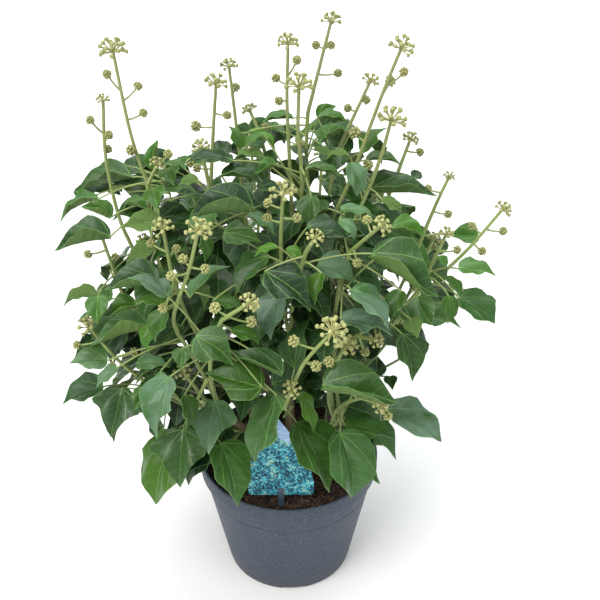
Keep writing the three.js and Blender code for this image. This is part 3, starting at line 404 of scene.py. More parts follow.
fibres = bpy.data.curves.new("straw_fibres", "CURVE")
fibres.dimensions = "3D"
fibres.bevel_depth = FIBRE_RADIUS * MM
fibres.bevel_resolution = 1
for i in range(FIBRES):
    x, y = litter_place()
    swing, long, bend = (litter.uniform(*span) for span in ((0, 2 * math.pi), FIBRE_LONG, FIBRE_BEND))
    spline = fibres.splines.new("POLY")
    spline.points.add(FIBRE_RUNS)
    for j, point in enumerate(spline.points):
        step = long * (j / FIBRE_RUNS - 0.5)
        turn = swing + bend * (j / FIBRE_RUNS - 0.5)
        px, py = x + step * math.cos(turn), y + step * math.sin(turn)
        if math.hypot(px, py) > edge - 1:
            px, py = x, y
        from_middle = abs(2 * j / FIBRE_RUNS - 1)
        rise = 0.5 + 1.3 * litter.uniform(0, 1) * (1 - from_middle)
        point.co = (px * MM, py * MM, (soil_top(px, py) + rise) * MM, 1)
        point.radius = 1 - 0.4 * from_middle
straw = bpy.data.objects.new("straw_fibres", fibres)
bpy.context.scene.collection.objects.link(straw)
only(straw)
bpy.ops.object.convert(target="MESH")
straw = bpy.context.object

peat, nodes, links, shader = material("peat", 0.95)
place = node(nodes, links, "ShaderNodeTexCoord").outputs["Object"]
surface = grain(nodes, links, place, 260.0, 700.0, 0.45)
stops = [(0.42, (0.006, 0.004, 0.003, 1)), (0.62, (0.09, 0.05, 0.035, 1))]
tone = ramp(nodes, links, surface.outputs["Mottle"], stops)
flecked = blend_colours(nodes, links, surface.outputs["Specks"], tone, (0.2, 0.13, 0.085, 1))
links.new(flecked, shader.inputs["Base Color"])
relief(nodes, links, shader, surface.outputs["Height"], 0.9, 0.0015)
soil.data.materials.append(peat)


def litter_material(name, dark, pale, scale):
    """A dry woody finish, streaked between two colours."""
    made, nodes, links, shader = material(name, 0.8)
    place = node(nodes, links, "ShaderNodeTexCoord").outputs["Object"]
    patches = node(nodes, links, "ShaderNodeTexNoise", {"Vector": place, "Scale": scale, "Detail": 4.0})
    tone = ramp(nodes, links, patches.outputs["Fac"], [(0.38, dark), (0.62, pale)])
    links.new(tone, shader.inputs["Base Color"])
    relief(nodes, links, shader, patches.outputs["Fac"], 0.5, 0.0005)
    return made


bark.data.materials.append(litter_material("bark", (0.025, 0.012, 0.008, 1), (0.2, 0.095, 0.055, 1), 140.0))
straw.data.materials.append(litter_material("straw", (0.12, 0.07, 0.035, 1), (0.4, 0.28, 0.15, 1), 90.0))
for piece in (soil, bark, straw):
    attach(piece, "root")
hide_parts("soil")


# Plant label: a printed plastic card with a pointed arch, on a flat dark stake pushed into the soil.
# Its print is a plain band of pale sky blue over a field of small coloured flecks.
LABEL_WIDTH = 66
LABEL_HEIGHT = 92
LABEL_CORNER = 5
LABEL_SHOULDER = 14
LABEL_TIP = -5.5
LABEL_THICKNESS = 0.8
LABEL_LEAN = math.radians(9)
LABEL_FOOT = (-7, -74, 145)
STAKE_WIDTH = 6
STAKE_THICKNESS = 1.4
STAKE_LENGTH = 40
STAKE_LAP = 8
half = LABEL_WIDTH / 2
# Corners of the card with the handles of its curves: [place, handle before, handle after]
card_points = [
    [(LABEL_CORNER - half, 0), (-half + 1.5, 0), (0, 0)],
    [(half - LABEL_CORNER, 0), (0, 0), (half - 1.5, 0)],
    [(half, LABEL_CORNER), (half, 1.5), (half, 8)],
    [(half, LABEL_SHOULDER), (half, 11), (29.7, 36.7)],
    [(LABEL_TIP, LABEL_HEIGHT), (16.8, 62.7), (-24.5, 67.3)],
    [(-half, LABEL_SHOULDER), (-33.7, 41.3), (-half, 11)],
    [(-half, LABEL_CORNER), (-half, 8), (-half, 1.5)],
]
outline = bpy.data.curves.new("printed_card", "CURVE")
outline.dimensions = "2D"
outline.fill_mode = "BOTH"
outline.extrude = LABEL_THICKNESS / 2 * MM
outline.resolution_u = 10
spline = outline.splines.new("BEZIER")
spline.bezier_points.add(len(card_points) - 1)
spline.use_cyclic_u = True
for point, (place, before, after) in zip(spline.bezier_points, card_points):
    point.handle_left_type = point.handle_right_type = "FREE"
    corner = [(x * MM, y * MM, 0) for x, y in (place, before, after)]
    point.co, point.handle_left, point.handle_right = corner
card = bpy.data.objects.new("printed_card", outline)
bpy.context.scene.collection.objects.link(card)
only(card)
bpy.ops.object.convert(target="MESH")
card = bpy.context.object
card.data.transform(Matrix.Translation((0, 0, LABEL_THICKNESS / 2 * MM)))
applied(card, "BEVEL", width=0.12 * MM, segments=2, limit_method="ANGLE", angle_limit=math.radians(50))

bpy.ops.mesh.primitive_cube_add(size=1)
stake = bpy.context.object
stake.name = "label_stake"
stake.scale = (STAKE_WIDTH * MM, (STAKE_LENGTH + STAKE_LAP) * MM, STAKE_THICKNESS * MM)
stake.location = (0, (STAKE_LAP - STAKE_LENGTH) / 2 * MM, LABEL_THICKNESS / 2 * MM)
bpy.ops.object.transform_apply(location=True, rotation=True, scale=True)
applied(stake, "BEVEL", width=0.35 * MM, segments=3)
leaning = Matrix.Translation(Vector(LABEL_FOOT) * MM) @ Matrix.Rotation(math.pi / 2 - LABEL_LEAN, 4, "X")
for piece in (card, stake):
    piece.data.transform(leaning)
    smoothed(piece, 35)

# Colours of the flecks, from the darkest, in steps as broad as each other
FLECKS = [
    (0.008, 0.02, 0.034, 1), (0.01, 0.05, 0.08, 1), (0.018, 0.12, 0.17, 1), (0.035, 0.24, 0.34, 1),
    (0.02, 0.07, 0.12, 1), (0.05, 0.38, 0.5, 1), (0.1, 0.5, 0.6, 1), (0.22, 0.6, 0.58, 1),
    (0.4, 0.6, 0.36, 1),
]
print_face, nodes, links, shader = material("label_print", 0.4)
shader.inputs["Specular IOR Level"].default_value = 0.2
place = node(nodes, links, "ShaderNodeTexCoord").outputs["Object"]
wobble = node(nodes, links, "ShaderNodeTexNoise", {"Vector": place, "Scale": 420.0})
shifted = node(
    nodes, links, "ShaderNodeVectorMath", {0: wobble.outputs["Color"], 1: (0.003, 0.003, 0.003), 2: place},
    operation="MULTIPLY_ADD",
)
cells = node(nodes, links, "ShaderNodeTexVoronoi", {"Vector": shifted.outputs[0], "Scale": 640.0})
pick = node(nodes, links, "ShaderNodeSeparateColor", {"Color": cells.outputs["Color"]})
drift = node(nodes, links, "ShaderNodeTexNoise", {"Vector": place, "Scale": 85.0, "Detail": 3.0})
spread = maths(nodes, links, "MULTIPLY_ADD", pick.outputs["Red"], 0.75, -0.53)
picked = maths(nodes, links, "MULTIPLY_ADD", drift.outputs["Fac"], 1.25, spread)
stops = [(i / len(FLECKS), colour) for i, colour in enumerate(FLECKS)]
flecks = ramp(nodes, links, picked, stops, "CONSTANT")
drawn_out = node(nodes, links, "ShaderNodeMapping", {"Vector": place, "Scale": (30.0, 60.0, 240.0)})
streaks = node(nodes, links, "ShaderNodeTexNoise", {"Vector": drawn_out.outputs[0]})
stops = [(0.35, (0.2, 0.36, 0.66, 1)), (0.7, (0.5, 0.64, 0.84, 1))]
band = ramp(nodes, links, streaks.outputs["Fac"], stops)
axes = node(nodes, links, "ShaderNodeSeparateXYZ", {"Vector": place})
slope = maths(nodes, links, "MULTIPLY_ADD", axes.outputs["X"], 0.55, axes.outputs["Z"])
over = maths(nodes, links, "GREATER_THAN", slope, 0.2055)
printed = blend_colours(nodes, links, over, flecks, band)
facing = node(nodes, links, "ShaderNodeNewGeometry")
side = node(nodes, links, "ShaderNodeSeparateXYZ", {"Vector": facing.outputs["True Normal"]})
front = maths(nodes, links, "LESS_THAN", side.outputs["Y"], -0.6)
sided = blend_colours(nodes, links, front, (0.62, 0.68, 0.7, 1), printed)
links.new(sided, shader.inputs["Base Color"])
card.data.materials.append(print_face)
stake_finish, nodes, links, shader = material("stake_plastic", 0.4)
place = node(nodes, links, "ShaderNodeTexCoord").outputs["Object"]
surface = grain(nodes, links, place, 300.0, 900.0, 0.2)
dark, pale = (0.035, 0.06, 0.09, 1), (0.08, 0.12, 0.16, 1)
tone = blend_colours(nodes, links, surface.outputs["Mottle"], dark, pale)
links.new(tone, shader.inputs["Base Color"])
stake.data.materials.append(stake_finish)
for piece in (card, stake):
    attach(piece, "root")
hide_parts("plant_label")


# Leafy stems: woody brown stems stand in the soil and fork into green branches and shoots. Leathery
# evergreen leaves stand off them on long petioles, turned to the light and overlapping like tiles.
# Places are worked out as the photograph's camera shows them: its eye, how far it looks down, and its
# focal length in pixels
EYE = (12, -800, 832)
PITCH = math.radians(32.1)
FOCAL = 971
IMAGE_CENTRE = 300
AHEAD = (0, math.cos(PITCH), -math.sin(PITCH))
OVER = (0, math.sin(PITCH), math.cos(PITCH))
# The bush as one rounded body: its middle and its half sizes
BUSH = (0, 0, 318)
BUSH_SIZE = (212, 165, 188)

# Woody stems: name, foot on the soil, fork
STEMS = [
    ("left", (-36, 12), (-78, 22, 262)),
    ("left_front", (-30, -26), (-62, -62, 232)),
    ("front", (0, -34), (2, -66, 262)),
    ("right_front", (26, -28), (52, -70, 236)),
    ("right", (38, 10), (84, 18, 262)),
    ("middle", (2, 2), (4, 6, 300)),
    ("left_back", (-20, 42), (-52, 86, 292)),
    ("right_back", (22, 44), (48, 92, 292)),
]

# Flower spikes: stem, (column, row, radius) of the umbel, its depth, the points that its axis passes
# on the way down, and its side heads
SPIKES = [
    ("left", (113, 52, 13), 10, [(131, 135), (150, 190), (165, 223)],
     [(107, 74, 5), (138, 86, 5), (143, 113, 5), (131, 150, 6)]),
    ("left", (103, 101, 7), 40, [(106, 160), (119, 217), (132, 247)],
     [(90, 120, 5), (109, 135, 5), (108, 149, 5)]),
    ("left_back", (216, 84, 11), 30, [(213, 135), (211, 182)],
     [(196, 126, 6), (227, 115, 5), (223, 158, 5), (197, 168, 5)]),
    ("left_back", (229, 67, 9), 75, [(235, 115), (240, 160)], [(236, 87, 5)]),
    ("left_back", (250, 111, 8), 60, [(260, 135), (268, 165)], [(265, 127, 5), (237, 133, 5)]),
    ("left", (201, 148, 9), -8, [(209, 185)], [(190, 163, 5)]),
    ("left", (157, 165, 8), -20, [(148, 184)], [(168, 154, 5)]),
    ("middle", (288, 44, 10), 22, [(287, 100), (289, 150), (291, 190)],
     [(276, 78, 5), (297, 60, 5), (279, 101, 5), (300, 143, 5)]),
    ("middle", (299, 87, 13), -8, [(298, 130), (301, 160)], []),
    ("right_back", (331, 22, 10), 60, [(320, 65), (308, 112)],
     [(331, 45, 5), (338, 73, 5), (316, 45, 5)]),
    ("right_back", (370, 82, 9), 52, [(352, 120), (338, 150)], [(366, 100, 5), (348, 108, 5)]),
    ("right", (401, 49, 12), 0, [(382, 95), (352, 175), (333, 217)],
     [(404, 72, 5), (390, 81, 6), (355, 133, 7), (368, 165, 6)]),
    ("middle", (391, 121, 14), -12, [(383, 150), (374, 176)], []),
    ("right_back", (410, 140, 9), 62, [(398, 172)], [(420, 152, 5)]),
    ("right", (449, 177, 6), 30, [(438, 200), (425, 230)], [(428, 189, 5), (448, 214, 5)]),
    ("right", (502, 210, 9), 0, [(470, 247), (443, 273)],
     [(503, 231, 5), (482, 251, 5), (472, 226, 5)]),
    ("right", (446, 235, 8), -22, [(432, 264)], [(457, 250, 5)]),
    ("right_front", (381, 226, 9), -112, [(364, 240), (350, 252)], [(367, 220, 5), (357, 263, 5)]),
    ("middle", (315, 238, 8), -128, [(306, 252)], []),
    ("middle", (283, 194, 12), -92, [(281, 232), (281, 256)],
     [(268, 203, 5), (267, 218, 5), (297, 218, 5)]),
    ("left_front", (198, 231, 12), -132, [(189, 270), (174, 315), (178, 334)],
     [(183, 259, 5), (205, 269, 5), (171, 276, 5), (163, 308, 5)]),
    ("left", (163, 229, 10), -88, [(171, 270)], [(151, 243, 5), (176, 249, 5)]),
    ("left", (99, 229, 8), -10, [(121, 290)], [(88, 254, 5), (115, 257, 5)]),
    ("front", (332, 332, 14), -158, [(305, 362), (290, 392)],
     [(294, 341, 6), (316, 366, 6), (329, 362, 6)]),
    ("right_front", (346, 346, 11), -124, [(331, 372)], []),
    ("front", (291, 390, 9), -140, [(286, 404)], []),
    ("left_front", (249, 303, 9), -152, [(222, 320)], [(215, 308, 6), (251, 322, 6)]),
    ("left_front", (89, 327, 11), -60, [(118, 360), (145, 382)],
     [(77, 345, 5), (112, 366, 5), (134, 352, 5)]),
    ("front", (197, 400, 9), -122, [(207, 380)], []),
    ("right_front", (375, 340, 8), -128, [(357, 336)], [(365, 352, 5)]),
    ("right_front", (380, 404, 9), -150, [(362, 398)], [(376, 387, 5), (388, 416, 5)]),
    ("left_front", (183, 372, 9), -84, [(196, 388)], []),
    ("right", (420, 288, 8), -42, [(405, 306)], []),
]

# Spikes on the far side: stem, umbel, foot, radius
BACK_SPIKES = [
    ("left_back", (-104, 130, 388), (-84, 112, 322), 9),
    ("left_back", (-40, 168, 412), (-34, 150, 336), 10),
    ("right_back", (36, 172, 408), (32, 152, 334), 10),
    ("right_back", (102, 130, 392), (84, 114, 322), 9),
    ("right", (150, 84, 352), (128, 72, 296), 8),
    ("left", (-150, 84, 350), (-128, 70, 292), 8),
]

# Shoots that carry leaves alone: stem, end
SHOOTS = [
    ("left", (-150, 10, 296)), ("left", (-166, -14, 372)), ("left", (-118, 52, 440)),
    ("left_front", (-132, -84, 214)), ("left_front", (-92, -118, 190)),
    ("left_front", (-100, -112, 300)), ("front", (-46, -118, 190)), ("front", (22, -112, 262)),
    ("right_front", (70, -112, 206)), ("right_front", (104, -76, 236)),
    ("right_front", (64, -110, 320)), ("right", (160, -8, 300)), ("right", (132, -30, 380)),
    ("middle", (-40, -30, 452)), ("middle", (52, -34, 446)), ("left_back", (-96, 128, 238)),
    ("left_back", (-30, 156, 262)), ("right_back", (36, 150, 232)), ("right_back", (104, 122, 262)),
    ("right", (150, 60, 240)), ("left", (-148, 66, 232)),
]

# Leaves of the near side, front to back: (column, row) of the base, then of the tip, then the width,
# and for one its depth
SHOWN_LEAVES = [
    (324, 379, 400, 396, 33, -150), (301, 392, 315, 434, 14), (297, 422, 329, 493, 42),
    (340, 433, 356, 498, 48), (276, 395, 249, 461, 30, -154), (215, 401, 210, 450, 46),
    (221, 443, 238, 507, 38), (183, 429, 180, 488, 48), (171, 433, 154, 504, 45),
    (327, 402, 386, 420, 33), (345, 425, 394, 439, 22), (389, 409, 443, 440, 30),
    (254, 207, 190, 211, 32), (262, 387, 205, 371, 40), (196, 336, 235, 364, 38),
    (122, 388, 110, 438, 42), (169, 377, 155, 439, 38), (145, 388, 135, 409, 20),
    (185, 395, 187, 430, 14), (103, 386, 61, 402, 25), (117, 367, 96, 387, 14),
    (107, 360, 69, 362, 24), (158, 380, 148, 402, 16), (160, 372, 163, 386, 12),
    (294, 368, 308, 316, 26), (284, 371, 233, 349, 14), (232, 330, 261, 342, 13),
    (265, 271, 314, 308, 39), (267, 256, 234, 294, 24), (321, 273, 315, 305, 16),
    (318, 264, 356, 282, 28), (352, 290, 392, 328, 25), (352, 252, 384, 284, 18),
    (341, 318, 394, 332, 20), (278, 295, 269, 340, 30), (213, 300, 245, 310, 14),
    (189, 297, 228, 263, 14), (165, 311, 153, 342, 22), (150, 325, 148, 352, 16),
    (137, 363, 170, 366, 15), (182, 348, 182, 369, 20), (403, 334, 413, 382, 33),
    (401, 291, 390, 322, 18), (410, 319, 417, 338, 20), (373, 252, 439, 297, 50),
    (378, 257, 400, 281, 12), (165, 304, 134, 300, 10), (135, 301, 102, 314, 18),
    (147, 319, 88, 338, 20), (98, 296, 98, 324, 24), (96, 294, 62, 305, 15),
    (168, 296, 128, 275, 15), (158, 275, 103, 280, 22), (152, 245, 127, 262, 20),
    (185, 243, 150, 262, 20), (204, 236, 205, 262, 12), (214, 211, 188, 242, 26),
    (224, 232, 262, 240, 25), (247, 215, 276, 234, 12), (277, 246, 254, 255, 9),
    (287, 248, 303, 260, 12), (307, 227, 350, 238, 19), (340, 220, 356, 238, 13),
    (311, 196, 309, 225, 23), (352, 163, 358, 196, 22), (393, 224, 427, 232, 14),
    (381, 199, 403, 216, 14), (341, 209, 373, 215, 12), (363, 187, 438, 187, 20),
    (417, 298, 429, 324, 28), (449, 296, 449, 324, 20), (459, 298, 496, 322, 30),
    (461, 296, 440, 275, 13), (478, 236, 449, 236, 22), (459, 268, 497, 274, 18),
    (440, 256, 447, 268, 10), (158, 222, 122, 226, 25), (110, 235, 53, 246, 25),
    (126, 201, 150, 207, 10), (96, 195, 56, 217, 16), (113, 212, 83, 200, 15),
    (130, 171, 71, 185, 22), (152, 189, 161, 211, 25), (157, 190, 199, 192, 14),
    (168, 168, 175, 187, 22), (186, 167, 160, 165, 10), (199, 181, 178, 186, 12),
    (150, 168, 152, 139, 18), (232, 160, 185, 160, 18), (222, 172, 265, 180, 16),
    (264, 158, 232, 159, 12), (275, 161, 253, 170, 13), (242, 148, 230, 125, 14),
    (262, 133, 244, 147, 10), (249, 131, 277, 148, 10), (281, 131, 256, 127, 12),
    (293, 116, 261, 120, 10), (307, 166, 343, 174, 12), (350, 157, 325, 159, 9),
    (330, 156, 311, 149, 10), (326, 137, 313, 131, 9), (296, 142, 319, 122, 10),
    (318, 141, 348, 125, 13), (319, 115, 349, 120, 10), (316, 115, 335, 103, 12),
    (363, 152, 386, 126, 16), (366, 158, 402, 161, 10),
]
# How many of them, from the start, hang low over the front of the pot, and how far forward
LOW_LEAVES = 12
LOW_DEPTH = -128

# Leaves, by column and row of the base, whose lower half is folded up so that its underside shows, and
# how much of the upper half it covers
FOLDED_UP = {
    (254, 207): 0.85, (222, 172): 0.5, (373, 252): 0.6, (393, 224): 0.45, (307, 166): 0.4,
    (275, 161): 0.6, (324, 379): 0.3, (126, 201): 0.6, (110, 235): 0.85, (130, 171): 0.8,
    (96, 195): 0.85, (113, 212): 0.7, (158, 275): 0.85, (150, 168): 0.6, (186, 167): 0.6,
    (135, 301): 0.45, (147, 319): 0.85, (293, 116): 0.5, (318, 141): 0.6, (319, 115): 0.45,
    (316, 115): 0.45, (366, 158): 0.4, (363, 187): 0.8, (284, 371): 0.35,
}
# Those of them whose midrib stays nearly where it is
HELD_UP = {(254, 207), (110, 235), (373, 252)}
# Leaves that show their underside whole
TURNED_OVER = {
    (264, 158), (378, 257), (381, 199), (158, 222), (152, 245), (199, 181), (96, 294), (330, 156),
    (350, 157), (410, 319),
}
# Young leaves, with how young they are
YOUNG = {
    (171, 433): 0.5, (301, 392): 0.75, (103, 386): 0.05, (185, 395): 0.3, (213, 300): 0.3,
    (165, 304): 0.55, (277, 246): 0.6, (287, 248): 0.6, (189, 297): 0.2, (196, 336): 0.2,
    (183, 429): 0.15, (145, 388): 0.3, (321, 273): 0.35, (297, 422): 0.2, (249, 131): 0.7,
    (296, 142): 0.6, (366, 158): 0.35, (352, 163): 0.3, (311, 196): 0.25, (318, 264): 0.25,
    (262, 387): 0.25, (417, 298): 0.3, (165, 311): 0.25, (122, 388): 0.12, (330, 156): 0.3,
}
# Leaves of a form of their own
FORMS = {
    "pointed": {(122, 388), (183, 429), (215, 401)},
    "lobed": {
        (265, 271), (196, 336), (158, 380), (403, 334), (214, 211), (321, 273), (341, 318), (275, 161),
        (373, 252),
    },
    "broad": {
        (171, 433), (340, 433), (327, 402), (417, 298), (459, 298), (341, 209),
        (340, 220), (352, 163), (311, 196), (276, 395), (389, 409), (254, 207),
    },
}
OWN_FORM = {mark: form for form, marks in FORMS.items() for mark in marks}
# Leaves that lie in the sheen of the light, which is painted over their colour as a bluish grey-green
# reflection
PAINTED_SHEEN_LEAVES = {
    (107, 360), (137, 363), (117, 367), (168, 296), (189, 297), (169, 377), (215, 401), (278, 295),
    (247, 215), (341, 209), (340, 220), (352, 290), (341, 318), (318, 264), (389, 409), (352, 163),
}
# Leaves whose tone is known, from 0 for the deepest green, and leaves that are the deepest: partly their
# own dark green and partly painted shade where they lie in shade
TONES = {
    (340, 433): 0.8, (389, 409): 0.6, (171, 433): 0.1, (196, 336): 0.2, (373, 252): 0.35, (327, 402): 0.4,
    (103, 386): 0.2, (107, 360): 0.1, (183, 429): 0.3,
}
DARK = {
    (232, 160), (168, 168), (224, 232), (307, 227), (401, 291), (403, 334), (262, 387), (281, 131),
    (185, 395), (213, 300), (182, 348), (265, 271), (122, 388), (307, 166), (222, 172), (254, 207),
}


def plus(a, b, k=1):
    """A sum of two places, the second times k."""
    return (a[0] + b[0] * k, a[1] + b[1] * k, a[2] + b[2] * k)


def minus(a, b):
    """The way from b to a."""
    return (a[0] - b[0], a[1] - b[1], a[2] - b[2])


def dot(a, b):
    """The scalar product of two ways."""
    return a[0] * b[0] + a[1] * b[1] + a[2] * b[2]


def length(a):
    """How long a way is."""
    return math.sqrt(dot(a, a))


def unit(a):
    """A way at length 1."""
    return plus((0, 0, 0), a, 1 / length(a))


def cross(a, b):
    """A way square to two others."""
    return (a[1] * b[2] - a[2] * b[1], a[2] * b[0] - a[0] * b[2], a[0] * b[1] - a[1] * b[0])


def between(a, b, t):
    """The place at a share of the way from a to b."""
    return plus(a, minus(b, a), t)


# The plant's own draws, the same each time
draw = 20119


def drawn(low, high):
    """The next draw between two values."""
    global draw
    draw = draw * 48271 % 2147483647
    return low + (high - low) * (draw / 2147483647)


def sight(column, row):
    """The ray from the camera through a place in its picture."""
    return plus(plus((column - IMAGE_CENTRE, 0, 0), AHEAD, FOCAL), OVER, IMAGE_CENTRE - row)


def seen(column, row, depth):
    """The place that the camera shows there, at a given depth."""
    ray = sight(column, row)
    return plus(EYE, ray, (depth - EYE[1]) / ray[1])


def bush_depth(column, row):
    """The depth at which that ray enters the bush, or passes it nearest."""
    ray = sight(column, row)
    start = tuple(v / size for v, size in zip(minus(EYE, BUSH), BUSH_SIZE))
    step = tuple(v / size for v, size in zip(ray, BUSH_SIZE))
    a = dot(step, step)
    half = dot(start, step)
    under = half * half - a * (dot(start, start) - 1)
    return EYE[1] + (ray[1] * (-half - math.sqrt(max(0, under)))) / a


def bow(start, guide, end, runs):
    """A smooth bow through three guide points, as short straight runs."""
    steps = [i / runs for i in range(runs + 1)]
    return [between(between(start, guide, t), between(guide, end, t), t) for t in steps]


def spaced(path, step):
    """Points no further apart than a step along a path."""
    points = [path[0]]
    for before, after in zip(path, path[1:]):
        parts = math.ceil(length(minus(after, before)) / step)
        points += [between(before, after, j / parts) for j in range(1, parts + 1)]
    return points


# What is already taken up, as balls, each listed in its own cell of space and in those around it.
# Leaves of one stem may come closer to each other than to another stem's.
CELL = 12
OWN_SHARE = 0.75
taken = {}


def take(points, radius, owner, kind):
    """Marks the balls round some points as taken up."""
    for point in points:
        a, b, c = (math.floor(v / CELL) for v in point)
        ball = (*point, radius, owner, kind)
        for i in (a - 1, a, a + 1):
            for j in (b - 1, b, b + 1):
                for k in (c - 1, c, c + 1):
                    taken.setdefault((i, j, k), []).append(ball)


def is_clear(points, radius, owner, kind):
    """Whether balls round some points keep off all that is taken up."""
    for point in points:
        x, y, z = point
        for ball in taken.get((math.floor(x / CELL), math.floor(y / CELL), math.floor(z / CELL)), ()):
            own = ball[4] == owner
            if own and kind != "blade" and ball[5] != "blade":
                continue
            reach = (radius + ball[3]) * (OWN_SHARE if own else 1)
            gap = (x - ball[0], y - ball[1], z - ball[2])
            if dot(gap, gap) < reach * reach:
                return False
    return True


POT_CLEARANCE = 4
SOIL_CLEARANCE = 6
LABEL_CLEARANCE = 5
LABEL_SLOPE = math.tan(LABEL_LEAN)


def is_free(point):
    """Whether a place is off the pot, the soil, the label and the floor."""
    x, y, z = point
    out = math.hypot(x, y)
    wall = RIM_RADIUS if z > COLLAR_FOOT else side_radius(z)
    over_soil = z > SOIL_HEIGHT + SOIL_CLEARANCE and out < RIM_RADIUS - RIM_WALL - POT_CLEARANCE
    off_pot = z > POT_HEIGHT + POT_CLEARANCE or out > wall + POT_CLEARANCE or over_soil
    rise = z - LABEL_FOOT[2]
    from_label = abs(y - LABEL_FOOT[1] - rise * LABEL_SLOPE)
    beside_label = abs(x - LABEL_FOOT[0]) > LABEL_WIDTH / 2 + POT_CLEARANCE
    off_label = from_label > LABEL_CLEARANCE or beside_label or rise > LABEL_HEIGHT + POT_CLEARANCE
    return z > POT_CLEARANCE and off_pot and off_label


# Radii of the balls that keep the pieces apart
TRUNK_BALL = 5.5
WOOD_BALL = 3.5
PETIOLE_BALL = 2.6
BLADE_BALL = 4
SPIKE_BALL = 3.2
BALL_STEP = 5
FINE_STEP = 4
# The wood, whose stems stand straight above the soil before they bow
TRUNK_RADII = (4.2, 3.1)
BRANCH_RADIUS = 2.1
SPIKE_RADIUS = 1.7
SHOOT_RADIUS = 1.5
ROOTED_DEPTH = 32
FIT_GAP = 0.3
TRUNK_STRAIGHT = 14
TRUNK_BOW = 10
WOOD_RUNS = 3
SMOOTH_RUNS = 15

# Each stem: its woody runs as (coarse path, smooth path, first radius, last radius), and its leaves
stems = {}
for name, foot, fork in STEMS:
    rooted = (*foot, SOIL_HEIGHT - ROOTED_DEPTH)
    above = (*foot, SOIL_HEIGHT + TRUNK_STRAIGHT)
    guide = (*foot, (SOIL_HEIGHT + fork[2]) / 2 + TRUNK_BOW)
    coarse = [rooted, *bow(above, guide, fork, WOOD_RUNS)]
    smooth = [rooted, *bow(above, guide, fork, 4 * WOOD_RUNS)]
    stems[name] = SimpleNamespace(name=name, runs=[(coarse, smooth, *TRUNK_RADII)], leaves=[])
    take(spaced(coarse[1:], BALL_STEP), TRUNK_BALL, name, "wood")

# Spikes splay, so each lower point of an axis lies nearer the middle of the bush. Side heads grow from
# where their stalk is short and rises.
SPLAY = 0.1
HEADS_FROM = 0.3
HEAD_SPREAD = 9
HEAD_RISE = 6
FALLING_COST = 0.6
BACK_HEADS = ((0.42, 12), (0.74, 9))
BACK_HEAD_RADIUS = 5
BACK_HEAD_REACH = 15
spikes = []


def add_spike(owner, axis, radius, heads, depth):
    """Keeps room for a flower spike. Its side heads are (centre, root, radius)."""
    spike = SimpleNamespace(
        name=f"{len(spikes) + 1:02d}", owner=owner, axis=axis, radius=radius, heads=heads, depth=depth
    )
    take(spaced(axis, BALL_STEP), SPIKE_BALL, "spike" + spike.name, "spike")
    take([axis[0]], radius + 1, "spike" + spike.name, "spike")
    for centre, root, size in heads:
        take(spaced([root, centre], FINE_STEP), PETIOLE_BALL, "spike" + spike.name, "spike")
        take([centre], size + 1, "spike" + spike.name, "spike")
    spikes.append(spike)


for owner, (column, row, radius), depth, way, side_heads in SPIKES:
    lower = [seen(c, r, depth * (1 - SPLAY * (i + 1))) for i, (c, r) in enumerate(way)]
    axis = [seen(column, row, depth), *lower]
    along = spaced(axis, FINE_STEP)
    rooting = along[math.ceil(len(along) * HEADS_FROM) : -1]
    heads = []
    for c, r, size in side_heads:
        centre = seen(c, r, depth * (1 - SPLAY) + drawn(-HEAD_SPREAD, HEAD_SPREAD))
        falls = [max(0, point[2] - centre[2] + HEAD_RISE) for point in rooting]
        reaches = [length(minus(p, centre)) + FALLING_COST * fall for p, fall in zip(rooting, falls)]
        heads.append((centre, rooting[reaches.index(min(reaches))], size))
    add_spike(owner, axis, radius, heads, depth)

for owner, head, foot, radius in BACK_SPIKES:
    heads = []
    for share, rise in BACK_HEADS:
        root = between(head, foot, share)
        swing = drawn(0, 2 * math.pi)
        level = plus(root, (math.cos(swing), math.sin(swing), 0), BACK_HEAD_REACH)
        heads.append((plus(level, (0, 0, rise)), root, BACK_HEAD_RADIUS))
    add_spike(owner, [head, between(head, foot, 0.5), foot], radius, heads, head[1])

# Branches run from a stem's fork on a bow to a place, swung aside where another stem is in the way.
SWINGS = ((0, 0), (1, 0), (-1, 0), (0, 1), (0, -1), (1, 1), (-1, 1), (1, -1), (-1, -1))
SWING_STEP = 10
MOST_SWINGS = 5
JOIN_REACH = 10
FORK_STEP = 8
SPREAD_FIRST = (0.55, 0.55, 0.3)
ARRIVAL = 0.4
ARRIVAL_SHARE = 0.6


def add_branch(stem, end, arrival, radius):
    """Grows a branch to its end and says whether there was room."""
    trunk = spaced(stem.runs[0][0][::-1], FORK_STEP)
    start = trunk[min(len(stem.runs) - 1, len(trunk) // 2)]
    way = minus(end, start)
    lifted = plus(start, tuple(v * share for v, share in zip(way, SPREAD_FIRST)))
    lined = plus(end, arrival, ARRIVAL * length(way)) if arrival else lifted
    guide = between(lifted, lined, ARRIVAL_SHARE)
    side = unit(cross(way, (0, 0.3, 1)))
    lift = unit(cross(side, way))
    for swing in range(MOST_SWINGS):
        for a, b in SWINGS:
            bent = plus(plus(guide, side, a * swing * SWING_STEP), lift, b * swing * SWING_STEP)
            path = bow(start, bent, end, WOOD_RUNS)
            middle = [p for p in spaced(path, BALL_STEP) if length(minus(p, end)) > JOIN_REACH]
            if not is_clear(middle, WOOD_BALL, stem.name, "wood") or not all(map(is_free, middle)):
                continue
            stem.runs.append((path, bow(start, bent, end, SMOOTH_RUNS), BRANCH_RADIUS, radius))
            take(spaced(path, BALL_STEP), WOOD_BALL, stem.name, "wood")
            return True
    return False


standing = []
for spike in spikes:
    foot = spike.axis[-1]
    down = unit(minus(foot, spike.axis[-2]))
    if add_branch(stems[spike.owner], plus(foot, down, FIT_GAP), down, SPIKE_RADIUS):
        standing.append(spike)
for name, end in SHOOTS:
    add_branch(stems[name], end, None, SHOOT_RADIUS)

